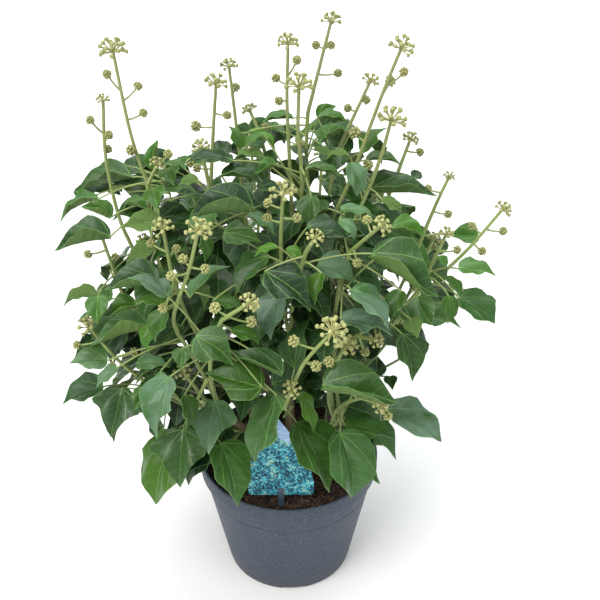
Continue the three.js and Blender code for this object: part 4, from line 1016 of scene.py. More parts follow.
# Half outlines of a blade for finding room, as (share of the length, share of the half width):
# ovate, three-lobed and narrow
ROOM_FORMS = (
    ((-0.06, 0.5), (0.25, 1), (0.62, 0.62)),
    ((-0.05, 0.56), (0.31, 1), (0.5, 0.55)),
    ((0.07, 0.6), (0.4, 1), (0.72, 0.56)),
)
NARROW = 2
NEAR_BASE = 0.08
NEAR_TIP = 0.98
SAMPLE_STEP = 7


def on_blade(leaf, t, x):
    """A place on a blade's middle surface, which arches along the midrib and is folded at it."""
    height = leaf.arch * leaf.long * 4 * t * (1 - t) + leaf.fold * leaf.half * abs(x)
    flat = plus(plus(leaf.base, leaf.axis, leaf.long * t), leaf.side, leaf.half * x)
    return plus(flat, leaf.normal, height)


def half_width(form, t):
    """Share of the half width at a share of the length."""
    outline = ((-0.01, 0.1), *ROOM_FORMS[form], (1, 0))
    place = min(max(t, NEAR_BASE), NEAR_TIP)
    after = next(i for i, (end, _) in enumerate(outline) if end >= place)
    a, b = outline[after - 1], outline[after]
    return a[1] + ((b[1] - a[1]) * (place - a[0])) / (b[0] - a[0])


def blade_samples(leaf, step=SAMPLE_STEP):
    """Points all over a blade."""
    rows = math.ceil(leaf.long / step)
    samples = []
    for i in range(rows + 1):
        t = i / rows
        reach = half_width(leaf.form, t)
        columns = math.ceil((reach * leaf.half) / step)
        samples += [on_blade(leaf, t, (reach * j) / columns) for j in range(-columns, columns + 1)]
    return samples


# Places along the wood, well above the soil, where a petiole can start
TWIG_STEP = 7
TWIG_HEIGHT = 22
twigs = []
for stem in stems.values():
    for coarse, *_ in stem.runs:
        way = [point for point in spaced(coarse, TWIG_STEP) if point[2] > SOIL_HEIGHT + TWIG_HEIGHT]
        twigs += [SimpleNamespace(point=point, stem=stem, bare=True) for point in way[:-1]]

# A petiole takes the nearest twig that is clear. One that starts before its leaf counts as longer.
PETIOLE_TRIES = 16
PETIOLE_START = 5
FORWARD_COST = 0.5


def add_leaf(leaf, shortest, longest, ball=BLADE_BALL, stalk=PETIOLE_BALL, screened=False):
    """Puts a leaf in place if it and a petiole to some twig are clear, and says whether it did.

    A screened petiole runs only where the near side shows leaves.
    """
    samples = blade_samples(leaf)
    if not all(map(is_free, samples)):
        return False
    near = []
    for twig in twigs:
        if twig.bare:
            far = length(minus(twig.point, leaf.base))
            if shortest < far < longest:
                near.append((far + FORWARD_COST * max(0, leaf.base[1] - twig.point[1]), twig))
    near.sort(key=lambda pair: pair[0])
    clear_of = {}
    for _, twig in near[:PETIOLE_TRIES]:
        point, stem = twig.point, twig.stem
        if stem.name not in clear_of:
            clear_of[stem.name] = is_clear(samples, ball, stem.name, "blade")
        if not clear_of[stem.name]:
            continue
        middle = spaced([leaf.base, point], FINE_STEP)[1:]
        tested = [place for place in middle if length(minus(place, point)) > PETIOLE_START]
        if not is_clear(tested, stalk, stem.name, "petiole") or not all(map(is_free, tested)):
            continue
        if screened and not all(in_outline(*shown_at(place)[:2]) for place in tested):
            continue
        leaf.root = point
        stem.leaves.append(leaf)
        twig.bare = False
        take(samples, ball, stem.name, "blade")
        take(middle, stalk, stem.name, "petiole")
        return True
    return False


# Leaves that the near side shows, each pushed back until it is clear of those before it. A draw up to
# SHOWN_FORMS or FREE_FORMS, without its fraction, picks the form.
LEAF_LONG = 1.2
LONGEST_LEAF = 88
MOST_ROLL = 1.15
NARROW_BELOW = 15
SHOWN_FORMS = 1.35
FREE_FORMS = 1.45
ARCHES = (0.01, 0.08)
FREE_ARCHES = (0.02, 0.09)
FOLDS = (-0.05, 0.3)
SHORTEST_PETIOLE = 12
LONGEST_PETIOLE = 70
PUSH_STEP = 4
MOST_PUSHES = 30


def leaf_as_shown(shown, depth, form, arch, fold):
    """A leaf turned and tipped so that it looks that long and that wide to the camera."""
    column, row, tip_column, tip_row, wide = shown[:5]
    base = seen(column, row, depth)
    scale = dot(minus(base, EYE), AHEAD) / FOCAL
    flat = plus(((tip_column - column) * scale, 0, 0), OVER, (row - tip_row) * scale)
    across = length(flat)
    long = max(across, min(LEAF_LONG * wide * scale, LONGEST_LEAF))
    lean = math.sqrt(long * long - across * across) * (-1 if tip_row > row else 1)
    axis = unit(plus(flat, AHEAD, lean))
    full = max(wide * scale, min(long / LEAF_LONG, (wide * scale) / math.cos(MOST_ROLL)))
    roll = math.acos((wide * scale) / full)
    face = unit(plus(plus((0, 0, 0), AHEAD, -1), axis, dot(AHEAD, axis)))
    sideways = cross(axis, face)
    straight = tuple(v * math.cos(roll) for v in face)
    one, other = (plus(straight, sideways, way * math.sin(roll)) for way in (1, -1))
    normal = one if one[2] > other[2] else other
    return SimpleNamespace(
        base=base, axis=axis, normal=normal, side=cross(axis, normal), long=long, half=full / 2,
        form=form, arch=arch, fold=fold, mark=(column, row), inner=False,
    )


for i, shown in enumerate(SHOWN_LEAVES):
    if len(shown) > 5:
        start = shown[5]
    else:
        start = LOW_DEPTH if i < LOW_LEAVES else bush_depth(shown[0], shown[1])
    form = NARROW if shown[4] < NARROW_BELOW else math.floor(drawn(0, SHOWN_FORMS))
    arch = drawn(*ARCHES)
    fold = drawn(*FOLDS)
    for push in range(MOST_PUSHES):
        leaf = leaf_as_shown(shown, start + push * PUSH_STEP, form, arch, fold)
        if add_leaf(leaf, SHORTEST_PETIOLE, LONGEST_PETIOLE + push):
            break

# The others grow free, in turns round the wood, on the far side first and then on the flanks.
TURN = math.radians(137.5)
BUSH_HEART = 248
FLATTEN = 0.9
OUTWARDS = 1.3
UPWARDS = 0.6
TILT = 0.25
LEANING = 0.5
FREE_WIDTHS = (42, 62)
FREE_LONG = (1.1, 1.3)
FREE_PETIOLES = (20, 44)
FREE_DROOPS = (0.2, 1.1)


def leaf_on_twig(point, spin, widths=FREE_WIDTHS, petioles=FREE_PETIOLES):
    """A leaf that grows out of the bush and up to the light from a twig, and droops."""
    out = unit((point[0], point[1], FLATTEN * (point[2] - BUSH_HEART)))
    way = unit(plus((math.cos(spin), math.sin(spin), UPWARDS), out, OUTWARDS))
    base = plus(point, way, drawn(*petioles))
    level = unit((way[0], way[1], 0))
    droop = drawn(*FREE_DROOPS)
    axis = unit(plus((0, 0, -math.sin(droop)), level, math.cos(droop)))
    up = unit(plus((drawn(-TILT, TILT), drawn(-TILT, TILT), 1), level, LEANING))
    normal = unit(plus(up, axis, -dot(up, axis)))
    full = drawn(*widths)
    form = math.floor(drawn(0, FREE_FORMS))
    long = full * drawn(*FREE_LONG)
    arch = drawn(*FREE_ARCHES)
    fold = drawn(*FOLDS)
    return SimpleNamespace(
        base=base, axis=axis, normal=normal, side=cross(axis, normal), long=long, half=full / 2,
        form=form, arch=arch, fold=fold, mark=None, inner=False,
    )


FREE_LEAVES = 60
BEHIND_SHARE = 0.63
FAR_SIDE = (30.0001, 999)  # depths, from and to
FLANKS = (-50, 30)
FREE_REACH = 50
SPOT_STRIDE = 7
LEAF_TRIES = 6
TRY_TURN = 0.4
LABEL_VIEW = 30


def hides_label(leaf):
    """Whether a leaf would stand in front of the label."""
    top = LABEL_FOOT[2] + LABEL_HEIGHT + LABEL_VIEW
    return any(
        y < LABEL_FOOT[1] and abs(x - LABEL_FOOT[0]) <= LABEL_WIDTH / 2 and z < top
        for x, y, z in blade_samples(leaf)
    )


free_leaves = 0
for nearest, furthest, most in ((*FAR_SIDE, BEHIND_SHARE * FREE_LEAVES), (*FLANKS, FREE_LEAVES)):
    spots = [twig for twig in twigs if twig.bare and nearest <= twig.point[1] <= furthest]
    for i in range(len(spots)):
        if free_leaves >= most:
            break
        twig = spots[(i * SPOT_STRIDE) % len(spots)]
        for attempt in range(LEAF_TRIES):
            leaf = leaf_on_twig(twig.point, (i + attempt * TRY_TURN) * TURN)
            if not hides_label(leaf) and add_leaf(leaf, SHORTEST_PETIOLE, FREE_REACH):
                free_leaves += 1
                break

# The bush is fuller than its solids: more leaves fill its inside, flanks and back, smaller and closer
# to each other, and only where they stand behind the leaves and heads that the near side shows.
MORE_LEAVES = 260
MORE_ROUNDS = 3
ROUND_TURN = 0.37
MORE_BALL = 1.6
MORE_WIDTHS = (30, 52)
MORE_PETIOLES = (14, 40)
DEPTH_CELL = 9
BEHIND_GAP = 6
OUTSIDE = 999
# The bush's outline seen from the front: (column, row)
BUSH_OUTLINE = [
    (56, 214), (62, 192), (78, 176), (110, 162), (150, 146), (200, 160), (232, 124), (262, 116),
    (300, 126), (320, 104), (340, 116), (372, 134), (400, 152), (432, 180), (440, 222), (476, 230),
    (488, 262), (502, 300), (486, 320), (466, 314), (426, 322), (414, 346), (410, 378), (404, 396),
    (440, 424), (432, 440), (384, 428), (366, 492), (336, 470), (248, 462), (236, 492), (214, 468),
    (186, 486), (170, 470), (152, 498), (138, 470), (150, 440), (108, 434), (94, 408), (64, 402),
    (72, 372), (72, 346), (84, 336), (82, 308), (64, 300), (72, 288), (60, 246),
]
# Where the bush is open and the light comes through: (column, row, radius)
CLEARINGS = [
    (68, 208, 7), (60, 224, 7), (84, 209, 6), (102, 215, 6), (118, 200, 7), (114, 224, 6), (126, 235, 7),
    (74, 262, 16), (98, 256, 15), (120, 250, 8), (84, 284, 8), (103, 281, 8), (140, 292, 4),
    (200, 182, 7), (194, 170, 4), (218, 172, 4), (132, 183, 4), (262, 149, 5), (286, 149, 4),
    (304, 118, 7), (372, 163, 8), (398, 162, 9), (414, 196, 16), (428, 214, 10), (438, 228, 8),
    (458, 244, 8), (458, 258, 8), (464, 277, 11), (484, 284, 11), (382, 272, 4), (394, 284, 6),
    (433, 322, 6), (382, 354, 5), (390, 366, 5), (400, 374, 5), (114, 380, 6), (122, 373, 4),
    (84, 372, 4), (384, 396, 6), (398, 395, 6), (392, 424, 7), (398, 436, 6), (132, 424, 7),
    (142, 434, 8), (146, 416, 4), (168, 428, 4), (204, 480, 6),
]
OPEN_CELL = 3
MOST_OUT = 0.45


def shown_at(point):
    """Where the camera shows a place, as (column, row), and how far ahead that is."""
    way = minus(point, EYE)
    ahead = dot(way, AHEAD)
    return IMAGE_CENTRE + FOCAL * way[0] / ahead, IMAGE_CENTRE - FOCAL * dot(way, OVER) / ahead, ahead


def is_leafy(column, row):
    """Whether a place in the camera's picture is within the bush's outline and not in a clearing."""
    inside = False
    for (c1, r1), (c2, r2) in zip(BUSH_OUTLINE, BUSH_OUTLINE[1:] + BUSH_OUTLINE[:1]):
        if (r1 > row) != (r2 > row) and column < c1 + (c2 - c1) * (row - r1) / (r2 - r1):
            inside = not inside
    return inside and all(math.hypot(column - x, row - y) > size for x, y, size in CLEARINGS)


IMAGE_CELLS = range(2 * IMAGE_CENTRE // OPEN_CELL)
leafy_cells = {
    (i, j) for i in IMAGE_CELLS for j in IMAGE_CELLS
    if is_leafy((i + 0.5) * OPEN_CELL, (j + 0.5) * OPEN_CELL)
}


def in_outline(column, row):
    """Whether a place in the camera's picture is in one of the cells that hold leaves."""
    return (column // OPEN_CELL, row // OPEN_CELL) in leafy_cells


def stands_out(leaf):
    """Whether a leaf that the near side doesn't show would fill what is open there."""
    if leaf.mark:
        return False
    out = [not in_outline(*shown_at(point)[:2]) for point in blade_samples(leaf)]
    return sum(out) > MOST_OUT * len(out)


for stem in stems.values():
    stem.leaves = [leaf for leaf in stem.leaves if not stands_out(leaf)]

# Where the label is seen between the leaves: least column and row, most column and row
LABEL_SEEN = (246, 408, 316, 498)


def is_label_seen(column, row):
    """Whether the camera sees the label at a place in its picture."""
    return LABEL_SEEN[0] < column < LABEL_SEEN[2] and LABEL_SEEN[1] < row < LABEL_SEEN[3]


# How far ahead the nearest of what the near side shows is, for each cell of the picture
nearest_shown = {}
for stem in stems.values():
    for leaf in stem.leaves:
        if leaf.mark:
            for point in blade_samples(leaf, FINE_STEP):
                column, row, ahead = shown_at(point)
                cell = (int(column // DEPTH_CELL), int(row // DEPTH_CELL))
                nearest_shown[cell] = min(ahead, nearest_shown.get(cell, ahead))
for spike in standing:
    for centre in (spike.axis[0], *(head[0] for head in spike.heads)):
        column, row, ahead = shown_at(centre)
        for dc in (-1, 0, 1):
            for dr in (-1, 0, 1):
                cell = (int(column // DEPTH_CELL) + dc, int(row // DEPTH_CELL) + dr)
                nearest_shown[cell] = min(ahead, nearest_shown.get(cell, ahead))

# How far back the added leaves may reach, a little behind the hindmost leaf of the solids
FURTHEST_BACK = 216


def too_near(leaf):
    """How far a leaf stands before what the near side shows, or far too much outside the outline."""
    most = -OUTSIDE
    for point in blade_samples(leaf):
        column, row, ahead = shown_at(point)
        if not in_outline(column, row) or is_label_seen(column, row) or point[1] > FURTHEST_BACK:
            return OUTSIDE
        cell = (int(column // DEPTH_CELL), int(row // DEPTH_CELL))
        most = max(most, nearest_shown.get(cell, 0) + BEHIND_GAP - ahead)
    return most


for twig in twigs:
    twig.bare = True
more_leaves = 0
for turn in range(MORE_ROUNDS):
    for i in range(len(twigs)):
        if more_leaves >= MORE_LEAVES:
            break
        twig = twigs[(i * SPOT_STRIDE) % len(twigs)]
        leaf = leaf_on_twig(twig.point, (i + turn * ROUND_TURN) * TURN, MORE_WIDTHS, MORE_PETIOLES)
        leaf.inner = True
        if too_near(leaf) > 0:
            continue
        if add_leaf(leaf, SHORTEST_PETIOLE, FREE_REACH, MORE_BALL, screened=True):
            more_leaves += 1

# What is still open between them is filled with small leaves that hang in the shade of the others.
# Their cells, steps, widths, rows, columns and drift are pixels of the picture.
GAP_CELL = 6
GAP_SHARE = 0.84
GAP_STEP = 8
GAP_TRIES = 24
GAP_WIDTHS = (12, 32)
GAP_ROWS = (108, 500)
GAP_COLUMNS = (60, 500)
GAP_DRIFT = (-3, 3)
GAP_HALVES = (0.4, 0.65)
GAP_ARCH = 0.04
GAP_DEPTHS = (8, 120)
GAP_PUSH = 1.25
GAP_REACH = 90
GAP_STALK = 1.0
GAP_BALL = 1.2


def cells_of(leaf):
    """The cells of the camera's picture that a blade covers."""
    middle = SimpleNamespace(**{**vars(leaf), "half": GAP_SHARE * leaf.half, "long": GAP_SHARE * leaf.long})
    places = [shown_at(point) for point in blade_samples(middle, FINE_STEP)]
    return {(int(column // GAP_CELL), int(row // GAP_CELL)) for column, row, _ in places}


covered = set()
for stem in stems.values():
    for leaf in stem.leaves:
        covered |= cells_of(leaf)
for row in range(*GAP_ROWS, GAP_STEP):
    for twig in twigs:
        twig.bare = True
    for column in range(*GAP_COLUMNS, GAP_STEP):
        place = (column + drawn(*GAP_DRIFT), row + drawn(*GAP_DRIFT))
        cell = (int(place[0] // GAP_CELL), int(place[1] // GAP_CELL))
        if cell in covered or not in_outline(*place):
            continue
        for attempt in range(GAP_TRIES):
            swing = drawn(0, 2 * math.pi)
            tried = (attempt + drawn(0, 1)) / GAP_TRIES
            wide = GAP_WIDTHS[1] + (GAP_WIDTHS[0] - GAP_WIDTHS[1]) * tried
            reach = wide * drawn(*GAP_HALVES)
            run = (reach * math.cos(swing), reach * math.sin(swing))
            shown = (place[0] - run[0], place[1] - run[1], place[0] + run[0], place[1] + run[1], wide)
            depth = bush_depth(*place) + drawn(*GAP_DEPTHS)
            form, fold = math.floor(drawn(0, FREE_FORMS)), drawn(*FOLDS)
            leaf = leaf_as_shown(shown, depth, form, GAP_ARCH, fold)
            short = too_near(leaf)
            if 0 < short < OUTSIDE:
                leaf = leaf_as_shown(shown, depth + GAP_PUSH * short + 2, form, GAP_ARCH, fold)
                short = too_near(leaf)
            leaf.mark, leaf.inner = None, True
            if short <= 0 and add_leaf(leaf, PETIOLE_START, GAP_REACH, GAP_BALL, GAP_STALK, True):
                covered |= cells_of(leaf)
                break

# Half outlines of the blades, from the heart-shaped base round the lobe to the drawn-out tip
LEAF_FORMS = {
    "ovate": [(0, 0), (-0.02, 0.2), (0.0, 0.48), (0.07, 0.76), (0.18, 0.94), (0.31, 1), (0.45, 0.92),
              (0.6, 0.7), (0.75, 0.42), (0.87, 0.19), (0.94, 0.08), (1, 0)],
    "lobed": [(0, 0), (-0.02, 0.22), (0.02, 0.5), (0.12, 0.8), (0.25, 0.98), (0.36, 1.05),
              (0.44, 0.98), (0.53, 0.76), (0.66, 0.5), (0.82, 0.25), (0.92, 0.09), (1, 0)],
    "broad": [(0, 0), (-0.03, 0.22), (-0.01, 0.46), (0.08, 0.72), (0.22, 0.92), (0.38, 1), (0.53, 0.96),
              (0.67, 0.8), (0.8, 0.54), (0.9, 0.27), (0.96, 0.11), (1, 0)],
    "narrow": [(0, 0), (0.0, 0.25), (0.06, 0.58), (0.2, 0.88), (0.37, 1), (0.55, 0.86),
               (0.71, 0.56), (0.86, 0.24), (1, 0)],
    "pointed": [(0, 0), (-0.03, 0.24), (0.0, 0.5), (0.1, 0.82), (0.24, 1.06), (0.36, 1.24),
                (0.41, 1.08), (0.49, 0.78), (0.62, 0.55), (0.8, 0.3), (0.92, 0.11), (1, 0)],
}
# Blades have a groove along the midrib and creases along the veins, and puff up between them. They
# wave at the margin, sway to a side, hook and curl at the tip, and are round where they fold.
LEAF_GRID = (10, 15)
INNER_GRID = (6, 9)
MIDRIB_BIAS = 1.6
BLADE_THICKNESS = 0.5
GROOVE = 0.15
GROOVE_WIDTH = 1.3
CREASE = 0.34
CREASE_ANGLE = 0.66
WAVE_HEIGHT = 2.2
WAVE_LEAF = 60  # the length of leaf that waves so high
WAVES = (1.1, 2.1)
SWELLS = (0.4, 1.0)
SWAYS = (-0.035, 0.035)
HOOKS = (-0.05, 0.05)
CURLS = (0, 0.09)
CURL_FROM = 0.6
UNEVEN = 0.06
PUFFS = (0.03, 0.13)
FOLD_DROP = 0.5
SMALL_DROP = 0.06
FOLD_ROUND = 0.42
RIB_PLACES = (0, 0.1, 0.2, 0.32, 0.45, 0.6)
SMALL_LEAF = 34
UV_SCALE = 0.8
UV_FOOT = 0.12
UV_HALF = 0.308


def smooth_path(points, count):
    """That many points, evenly spaced on a smooth curve through some given ones."""
    given = np.array([points[0], *points, points[-1]], float)
    given[0] += given[1] - given[2]
    given[-1] += given[-2] - given[-3]
    dense = []
    for a, b, c, d in zip(given, given[1:], given[2:], given[3:]):
        for t in np.linspace(0, 1, 12, endpoint=False):
            dense.append(
                b + (c - a) * t / 2 + (2 * a - 5 * b + 4 * c - d) * t**2 / 2
                + (3 * b - a - 3 * c + d) * t**3 / 2
            )
    dense = np.array([*dense, given[-2]])
    run = np.concatenate([[0], np.cumsum(np.linalg.norm(np.diff(dense, axis=0), axis=1))])
    even = np.linspace(0, run[-1], count)
    return np.array([np.interp(even, run, dense[:, i]) for i in range(dense.shape[1])]).T


def flat_leaf(name, outline, columns, rows):
    """A flat blade whose rows fan out from the midrib: x over the half width, y over the length."""
    bpy.ops.object.select_all(action="DESELECT")
    bpy.ops.mesh.primitive_grid_add(x_subdivisions=columns, y_subdivisions=rows, size=2)
    blade = bpy.context.object
    blade.name = name
    margin = smooth_path(outline, rows + 1)
    edge = blade.data.attributes.new("edge", "FLOAT", "POINT")
    for vertex in blade.data.vertices:
        row = round((vertex.co.y + 1) / 2 * rows)
        out = abs(vertex.co.x)
        spine = (row / rows) ** MIDRIB_BIAS
        t, x = margin[row]
        edge.data[vertex.index].value = out if 0 < row < rows else 1
        vertex.co = (math.copysign(x * out, vertex.co.x), spine + (t - spine) * out, 0)
    bpy.ops.object.mode_set(mode="EDIT")
    bpy.ops.mesh.select_all(action="SELECT")
    bpy.ops.mesh.remove_doubles(threshold=0.0005)
    bpy.ops.object.mode_set(mode="OBJECT")
    uv = blade.data.uv_layers.active.data
    for loop in blade.data.loops:
        x, t, _ = blade.data.vertices[loop.vertex_index].co
        uv[loop.index].uv = (0.5 + UV_HALF * x, UV_FOOT + UV_SCALE * t)
    return blade


flat_leaves = {name: flat_leaf("blade_" + name, LEAF_FORMS[name], *LEAF_GRID) for name in LEAF_FORMS}
inner_leaves = {name: flat_leaf("inner_" + name, LEAF_FORMS[name], *INNER_GRID) for name in LEAF_FORMS}
growth = np.random.default_rng(11)


def set_values(mesh, attribute, values):
    """Adds a point attribute with its values, or one value for all."""
    mesh.attributes.new(attribute, "FLOAT", "POINT").data.foreach_set(
        "value", np.full(len(mesh.vertices), values, np.float32)
    )


def opened(leaf, cover):
    """A folded leaf turned so that its far half lies open and its near half can stand before it."""
    towards = unit(minus(EYE, leaf.base))
    away = unit(plus(towards, leaf.axis, -dot(towards, leaf.axis)))
    wide = 2 * leaf.half * abs(dot(leaf.normal, away))
    up = cross(leaf.axis, away)
    if dot(up, OVER) < 0:
        up = plus((0, 0, 0), up, -1)
    slope = math.acos(min(0.96, wide / leaf.half))
    normal = plus(tuple(v * math.sin(slope) for v in up), away, math.cos(slope))
    side = cross(leaf.axis, normal)
    lower = -1 if dot(side, up) > 0 else 1
    turn = math.acos(-cover * math.cos(slope)) - slope
    drop = SMALL_DROP if leaf.mark in HELD_UP else FOLD_DROP
    return plus(leaf.base, up, -drop * cover * wide), side, normal, lower, turn


def placed(frame_of, along, across, rise):
    """Places along, across and above a blade's frame of base, axis, side and normal."""
    base, axis, side, normal = frame_of
    return base + np.outer(along, axis) + np.outer(across, side) + np.outer(rise, normal)


def grown_leaf(leaf):
    """A leaf of its own: a copy of its form, bent to its place, with its own waves and curl."""
    form = OWN_FORM.get(leaf.mark, ("ovate", "lobed", "narrow")[leaf.form])
    copy = copied((inner_leaves if leaf.inner else flat_leaves)[form], Matrix())
    mesh = copy.data
    flat = np.zeros(len(mesh.vertices) * 3, np.float32)
    mesh.vertices.foreach_get("co", flat)
    x, t = flat.reshape(-1, 3).T[:2].astype(float)
    phase, waves, swell = growth.uniform(0, 6.3), growth.uniform(*WAVES), growth.uniform(*SWELLS)
    sway, hook, curl = (growth.uniform(*span) for span in (SWAYS, HOOKS, CURLS))
    uneven = 1 + UNEVEN * growth.uniform(-1, 1) * np.sign(x)
    puff = growth.uniform(*PUFFS)
    out = np.abs(x) * leaf.half * uneven
    across = np.sign(x) * out
    rise = leaf.fold * out
    base, side, normal = leaf.base, leaf.side, leaf.normal
    if leaf.mark in FOLDED_UP:
        base, side, normal, lower, turn = opened(leaf, FOLDED_UP[leaf.mark])
        steps = np.linspace(0, leaf.half * 1.2, 40)
        bend = turn * np.minimum(1, steps / (FOLD_ROUND * leaf.half))
        level = np.concatenate([[0], np.cumsum(np.cos(bend[1:]) * np.diff(steps))])
        lift = np.concatenate([[0], np.cumsum(np.sin(bend[1:]) * np.diff(steps))])
        folded = np.sign(x) == lower
        across = np.where(folded, lower * np.interp(out, steps, level), across)
        rise = np.where(folded, np.interp(out, steps, lift), rise)
    span = leaf.long / WAVE_LEAF
    past = np.clip((t - CURL_FROM) / (1 - CURL_FROM), 0, 1) ** 2
    rise = rise + leaf.arch * leaf.long * 4 * t * (1 - t)
    wave = np.sin(6.28 * waves * t + phase + 1.9 * np.sign(x))
    rise += swell * WAVE_HEIGHT * span * np.abs(x) ** 1.6 * wave
    rise += -curl * leaf.long * past - GROOVE * np.exp(-((across / GROOVE_WIDTH) ** 2))
    rise += puff * leaf.half * np.sin(np.pi * np.clip(np.abs(x), 0, 1)) * np.sin(np.pi * np.clip(t, 0, 1))
    angle = np.arctan2(np.abs(x) * leaf.half, np.maximum(t, -0.02) * leaf.long + 0.001)
    reach = np.hypot(x * leaf.half / leaf.long, t)
    rise += CREASE * leaf.half * np.sin(np.pi * angle / CREASE_ANGLE) ** 2 * np.minimum(reach, 0.5)
    across = across + leaf.long * (sway * 4 * t * (1 - t) + hook * past)
    frame_of = [np.array(v, float) for v in (base, leaf.axis, side, normal)]
    points = placed(frame_of, t * leaf.long, across, rise)
    spine = np.array(RIB_PLACES)
    deep = leaf.arch * leaf.long * 4 * spine * (1 - spine) - GROOVE
    deep -= -GROOVE if leaf.mark in TURNED_OVER else GROOVE + BLADE_THICKNESS
    leaf.rib = placed(frame_of, spine * leaf.long, leaf.long * sway * 4 * spine * (1 - spine), deep)
    mesh.vertices.foreach_set("co", (points * MM).astype(np.float32).ravel())
    small = leaf.mark and leaf.long < SMALL_LEAF
    set_values(mesh, "youth", YOUNG.get(leaf.mark, 0.3 if small else growth.uniform(0, 0.16)))
    shaded = leaf.mark in DARK or leaf.mark in TURNED_OVER
    # Leaves inside the bush get only the darker tones, as painted shade of the leaves around them
    tone = growth.uniform(0, 0.25 if leaf.inner else 1)
    set_values(mesh, "tone", 0 if shaded else TONES.get(leaf.mark, tone))
    # How much painted sheen, a reflection of the light painted into the colour, each leaf gets: much on
    # those listed for it, a little at random on the others
    set_values(mesh, "satin", 0.9 if leaf.mark in PAINTED_SHEEN_LEAVES else growth.uniform(0, 0.2))
    if leaf.mark in TURNED_OVER:
        mesh.flip_normals()
    return copy


def strands(name, sides=2):
    """An empty curve for runs of wood or stalk, round in section."""
    made = bpy.data.curves.new(name, "CURVE")
    made.dimensions = "3D"
    made.bevel_depth = MM
    made.bevel_resolution = sides
    made.use_fill_caps = True
    return made


def add_strand(curve, path, radii):
    """Adds a run along a path, with its radii from start to end."""
    spline = curve.splines.new("POLY")
    spline.points.add(len(path) - 1)
    radii = np.interp(np.linspace(0, 1, len(path)), np.linspace(0, 1, len(radii)), radii)
    for point, place, radius in zip(spline.points, path, radii):
        point.co = (place[0] * MM, place[1] * MM, place[2] * MM, 1)
        point.radius = radius


def mesh_of(curve, finish):
    """The mesh of a curve, in its finish."""
    made = bpy.data.objects.new(curve.name, curve)
    bpy.context.scene.collection.objects.link(made)
    only(made)
    bpy.ops.object.convert(target="MESH")
    made = bpy.context.object
    made.data.materials.append(finish)
    bpy.ops.object.shade_smooth()
    return made


def line_mask(nodes, links, distance, width):
    """1 on a line and 0 beyond its width."""
    share = maths(nodes, links, "DIVIDE", distance, width)
    made = node(nodes, links, "ShaderNodeMath", {0: 1.0, 1: share}, operation="SUBTRACT", use_clamp=True)
    return made.outputs[0]


def vein_group():
    """Shared effect: the veins that fan out from a leaf's base over its UV map, and their fine net."""
    group = bpy.data.node_groups.new("leaf_veins", "ShaderNodeTree")
    group.interface.new_socket("Leaf Map", in_out="INPUT", socket_type="NodeSocketVector")
    for name in ("Veins", "Net", "Height"):
        group.interface.new_socket(name, in_out="OUTPUT", socket_type="NodeSocketFloat")
    nodes, links = group.nodes, group.links
    given = nodes.new("NodeGroupInput")
    put = nodes.new("NodeGroupOutput")
    flat = given.outputs["Leaf Map"]
    drift = node(nodes, links, "ShaderNodeTexNoise", {"Vector": flat, "Scale": 7.0, "Detail": 2.0})
    centred = node(
        nodes, links, "ShaderNodeVectorMath",
        {0: drift.outputs["Color"], 1: (0.036, 0.036, 0.0), 2: (-0.518, -UV_FOOT - 0.018, 0.0)},
        operation="MULTIPLY_ADD",
    )
    moved = node(nodes, links, "ShaderNodeVectorMath", {0: flat, 1: centred.outputs[0]}, operation="ADD")
    axes = node(nodes, links, "ShaderNodeSeparateXYZ", {"Vector": moved.outputs[0]})
    x = maths(nodes, links, "ABSOLUTE", axes.outputs["X"])
    y = axes.outputs["Y"]
    away = node(nodes, links, "ShaderNodeVectorMath", {0: moved.outputs[0]}, operation="LENGTH")
    reach = away.outputs["Value"]
    angle = maths(nodes, links, "ARCTAN2", x, y)
    midrib = line_mask(nodes, links, x, maths(nodes, links, "MULTIPLY_ADD", y, -0.012, 0.0145))
    slim = maths(nodes, links, "MULTIPLY_ADD", reach, -0.01, 0.011)
    rays = []
    for start, bend in ((0.62, -0.42), (1.3, -0.55)):
        way = maths(nodes, links, "MULTIPLY_ADD", reach, bend, start)
        off = maths(nodes, links, "ABSOLUTE", maths(nodes, links, "SUBTRACT", angle, way))
        rays.append(line_mask(nodes, links, maths(nodes, links, "MULTIPLY", off, reach), slim))
    inner = maths(nodes, links, "LESS_THAN", angle, maths(nodes, links, "MULTIPLY_ADD", reach, -0.42, 0.62))
    sides = []
    bulges = []
    for lean, step, inside in ((-0.8, 0.115, True), (0.5, 0.12, False)):
        count = maths(nodes, links, "DIVIDE", maths(nodes, links, "MULTIPLY_ADD", x, lean, y), step)
        off = maths(nodes, links, "SUBTRACT", maths(nodes, links, "FRACT", count), 0.5)
        off = maths(nodes, links, "MULTIPLY", maths(nodes, links, "ABSOLUTE", off), step * 0.8)
        mask = line_mask(nodes, links, off, maths(nodes, links, "MULTIPLY_ADD", x, -0.014, 0.0062))
        part = inner if inside else maths(nodes, links, "SUBTRACT", 1.0, inner)
        bulges.append(maths(nodes, links, "MULTIPLY", maths(nodes, links, "DIVIDE", off, step * 0.4), part))
        sides.append(maths(nodes, links, "MULTIPLY", maths(nodes, links, "MULTIPLY", mask, part), 0.42))
    veins = midrib
    for other in rays + sides:
        veins = maths(nodes, links, "MAXIMUM", veins, other)
    cells = node(
        nodes, links, "ShaderNodeTexVoronoi", {"Vector": moved.outputs[0], "Scale": 30.0},
        feature="DISTANCE_TO_EDGE",
    )
    net = line_mask(nodes, links, cells.outputs["Distance"], 0.09)
    height = maths(nodes, links, "MULTIPLY_ADD", net, 0.25, veins)
    for bulge in bulges:
        height = maths(nodes, links, "MULTIPLY_ADD", bulge, -1.2, height)
    links.new(veins, put.inputs["Veins"])
    links.new(net, put.inputs["Net"])
    links.new(height, put.inputs["Height"])
    return group


VEINS = vein_group()


